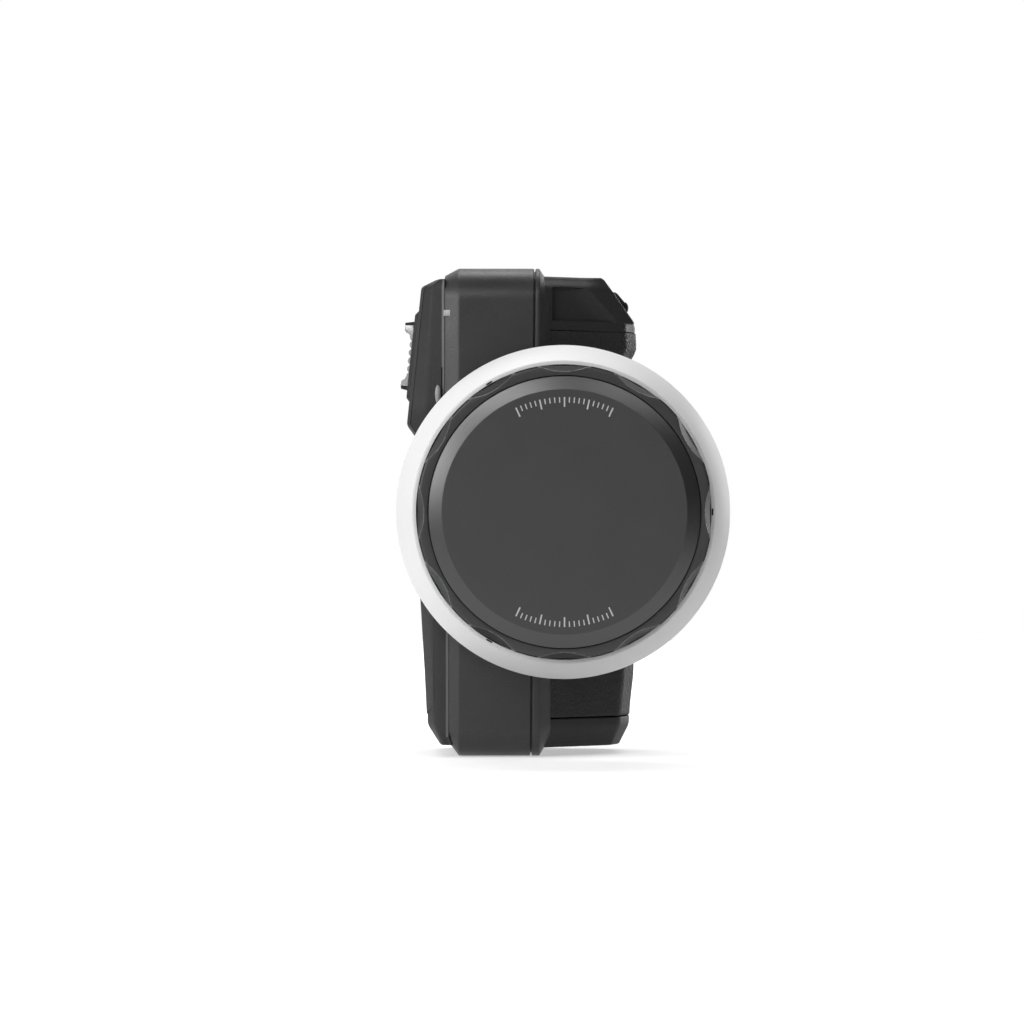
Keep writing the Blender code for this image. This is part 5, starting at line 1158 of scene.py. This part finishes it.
def area(name, place, target, width, height, power):
    """Add a soft lamp that looks at its target."""
    lamp = bpy.data.lights.new(name, "AREA")
    lamp.shape = "RECTANGLE"
    lamp.size = width
    lamp.size_y = height
    lamp.energy = power
    made = bpy.data.objects.new(name, lamp)
    made.location = place
    made.rotation_euler = (Vector(target) - Vector(place)).to_track_quat("-Z", "Y").to_euler()
    bpy.context.scene.collection.objects.link(made)


def seen_white(tree, strength):
    """Return a glow that the camera, gloss and glass see, and that lights nothing."""
    path = tree.nodes.new("ShaderNodeLightPath")
    total = path.outputs["Is Camera Ray"]
    for other in ("Is Glossy Ray", "Is Transmission Ray"):
        most = tree.nodes.new("ShaderNodeMath")
        most.operation = "MAXIMUM"
        tree.links.new(total, most.inputs[0])
        tree.links.new(path.outputs[other], most.inputs[1])
        total = most.outputs[0]
    scale = tree.nodes.new("ShaderNodeMath")
    scale.operation = "MULTIPLY"
    scale.inputs[1].default_value = strength
    tree.links.new(total, scale.inputs[0])
    glow = tree.nodes.new("ShaderNodeEmission")
    tree.links.new(scale.outputs[0], glow.inputs["Strength"])
    return glow


def sheet(name, corners, colour, strength, far_strength=None):
    """Add a plane that belongs to the stage, with a glow that can change towards its far end."""
    material, tree, shader = nodes_of(name)
    shader.inputs["Base Color"].default_value = (colour, colour, colour, 1)
    shader.inputs["Roughness"].default_value = 0.9
    shader.inputs["Specular IOR Level"].default_value = 0.0
    add = tree.nodes.new("ShaderNodeAddShader")
    tree.links.new(shader.outputs[0], add.inputs[0])
    glow = seen_white(tree, strength)
    if far_strength is not None:
        place = tree.nodes.new("ShaderNodeSeparateXYZ")
        tree.links.new(tree.nodes.new("ShaderNodeTexCoord").outputs["Generated"], place.inputs[0])
        level = ramp(tree, place.outputs["Y"], 0.45, 0.75, strength, far_strength)
        tree.links.new(level, glow.inputs["Strength"].links[0].from_node.inputs[1])
    tree.links.new(glow.outputs[0], add.inputs[1])
    tree.links.new(add.outputs[0], tree.nodes["Material Output"].inputs["Surface"])
    mesh = bpy.data.meshes.new(name)
    mesh.from_pydata(corners, [], [(0, 1, 2, 3)])
    mesh.materials.append(material)
    made = bpy.data.objects.new(name, mesh)
    bpy.context.scene.collection.objects.link(made)


def stage():
    """Set up the floor, the backdrop, the lamps and the camera."""
    near, far, low, high = -0.60, 0.9, -0.0002, 1.2
    wide = 0.27
    sheet("floor", [(-wide, near, low), (wide, near, low), (wide, far, low), (-wide, far, low)],
          0.80, 0.46, 1.0)
    wide = 1.0
    sheet("backdrop", [(-wide, far, low), (wide, far, low), (wide, far, high), (-wide, far, high)],
          0.0, 1.0)
    world = bpy.data.worlds.new("studio")
    bpy.context.scene.world = world
    world.use_nodes = True
    back = world.node_tree.nodes["Background"]
    back.inputs["Color"].default_value = (1, 1, 1, 1)
    back.inputs["Strength"].default_value = 0.12
    for lamp in LAMPS:
        area(*lamp)

    lens = bpy.data.cameras.new("camera")
    lens.lens = LENS
    lens.sensor_width = SENSOR
    lens.clip_start = 0.01
    camera = bpy.data.objects.new("camera", lens)
    camera.location = Vector(CAMERA_PLACE) * MM
    camera.rotation_euler = (math.pi / 2, 0, 0)
    bpy.context.scene.collection.objects.link(camera)
    bpy.context.scene.camera = camera
    bpy.context.scene.view_settings.view_transform = "Standard"


def repaint():
    """Give every CAD node that stays its procedural finish."""
    finishes = {entry["node"]: entry["material_slot"] for entry in frame["record"]["subparts"]}
    for name, node in frame["nodes"].items():
        node.data.materials.clear()
        node.data.materials.append(MATS[finishes[name]])


repaint()
band()
far_side()
module()
finger_button()
head()
display()
pale_highlight_bar()
slider_bezel()
slider()
cover()
thumb_pad()
for key_name, key_side in KEY_PLACES.items():
    key_look(key_name, key_side)
knob()
knob_face()
marking_ring()
ticks()
turret()
dressed("palm_pad", "rubber_black", 0.5, segments=3)
dressed("charge_port", "steel", 0.08)
dressed("tripod_socket", "brass", 0.15)
status_light()
stage()
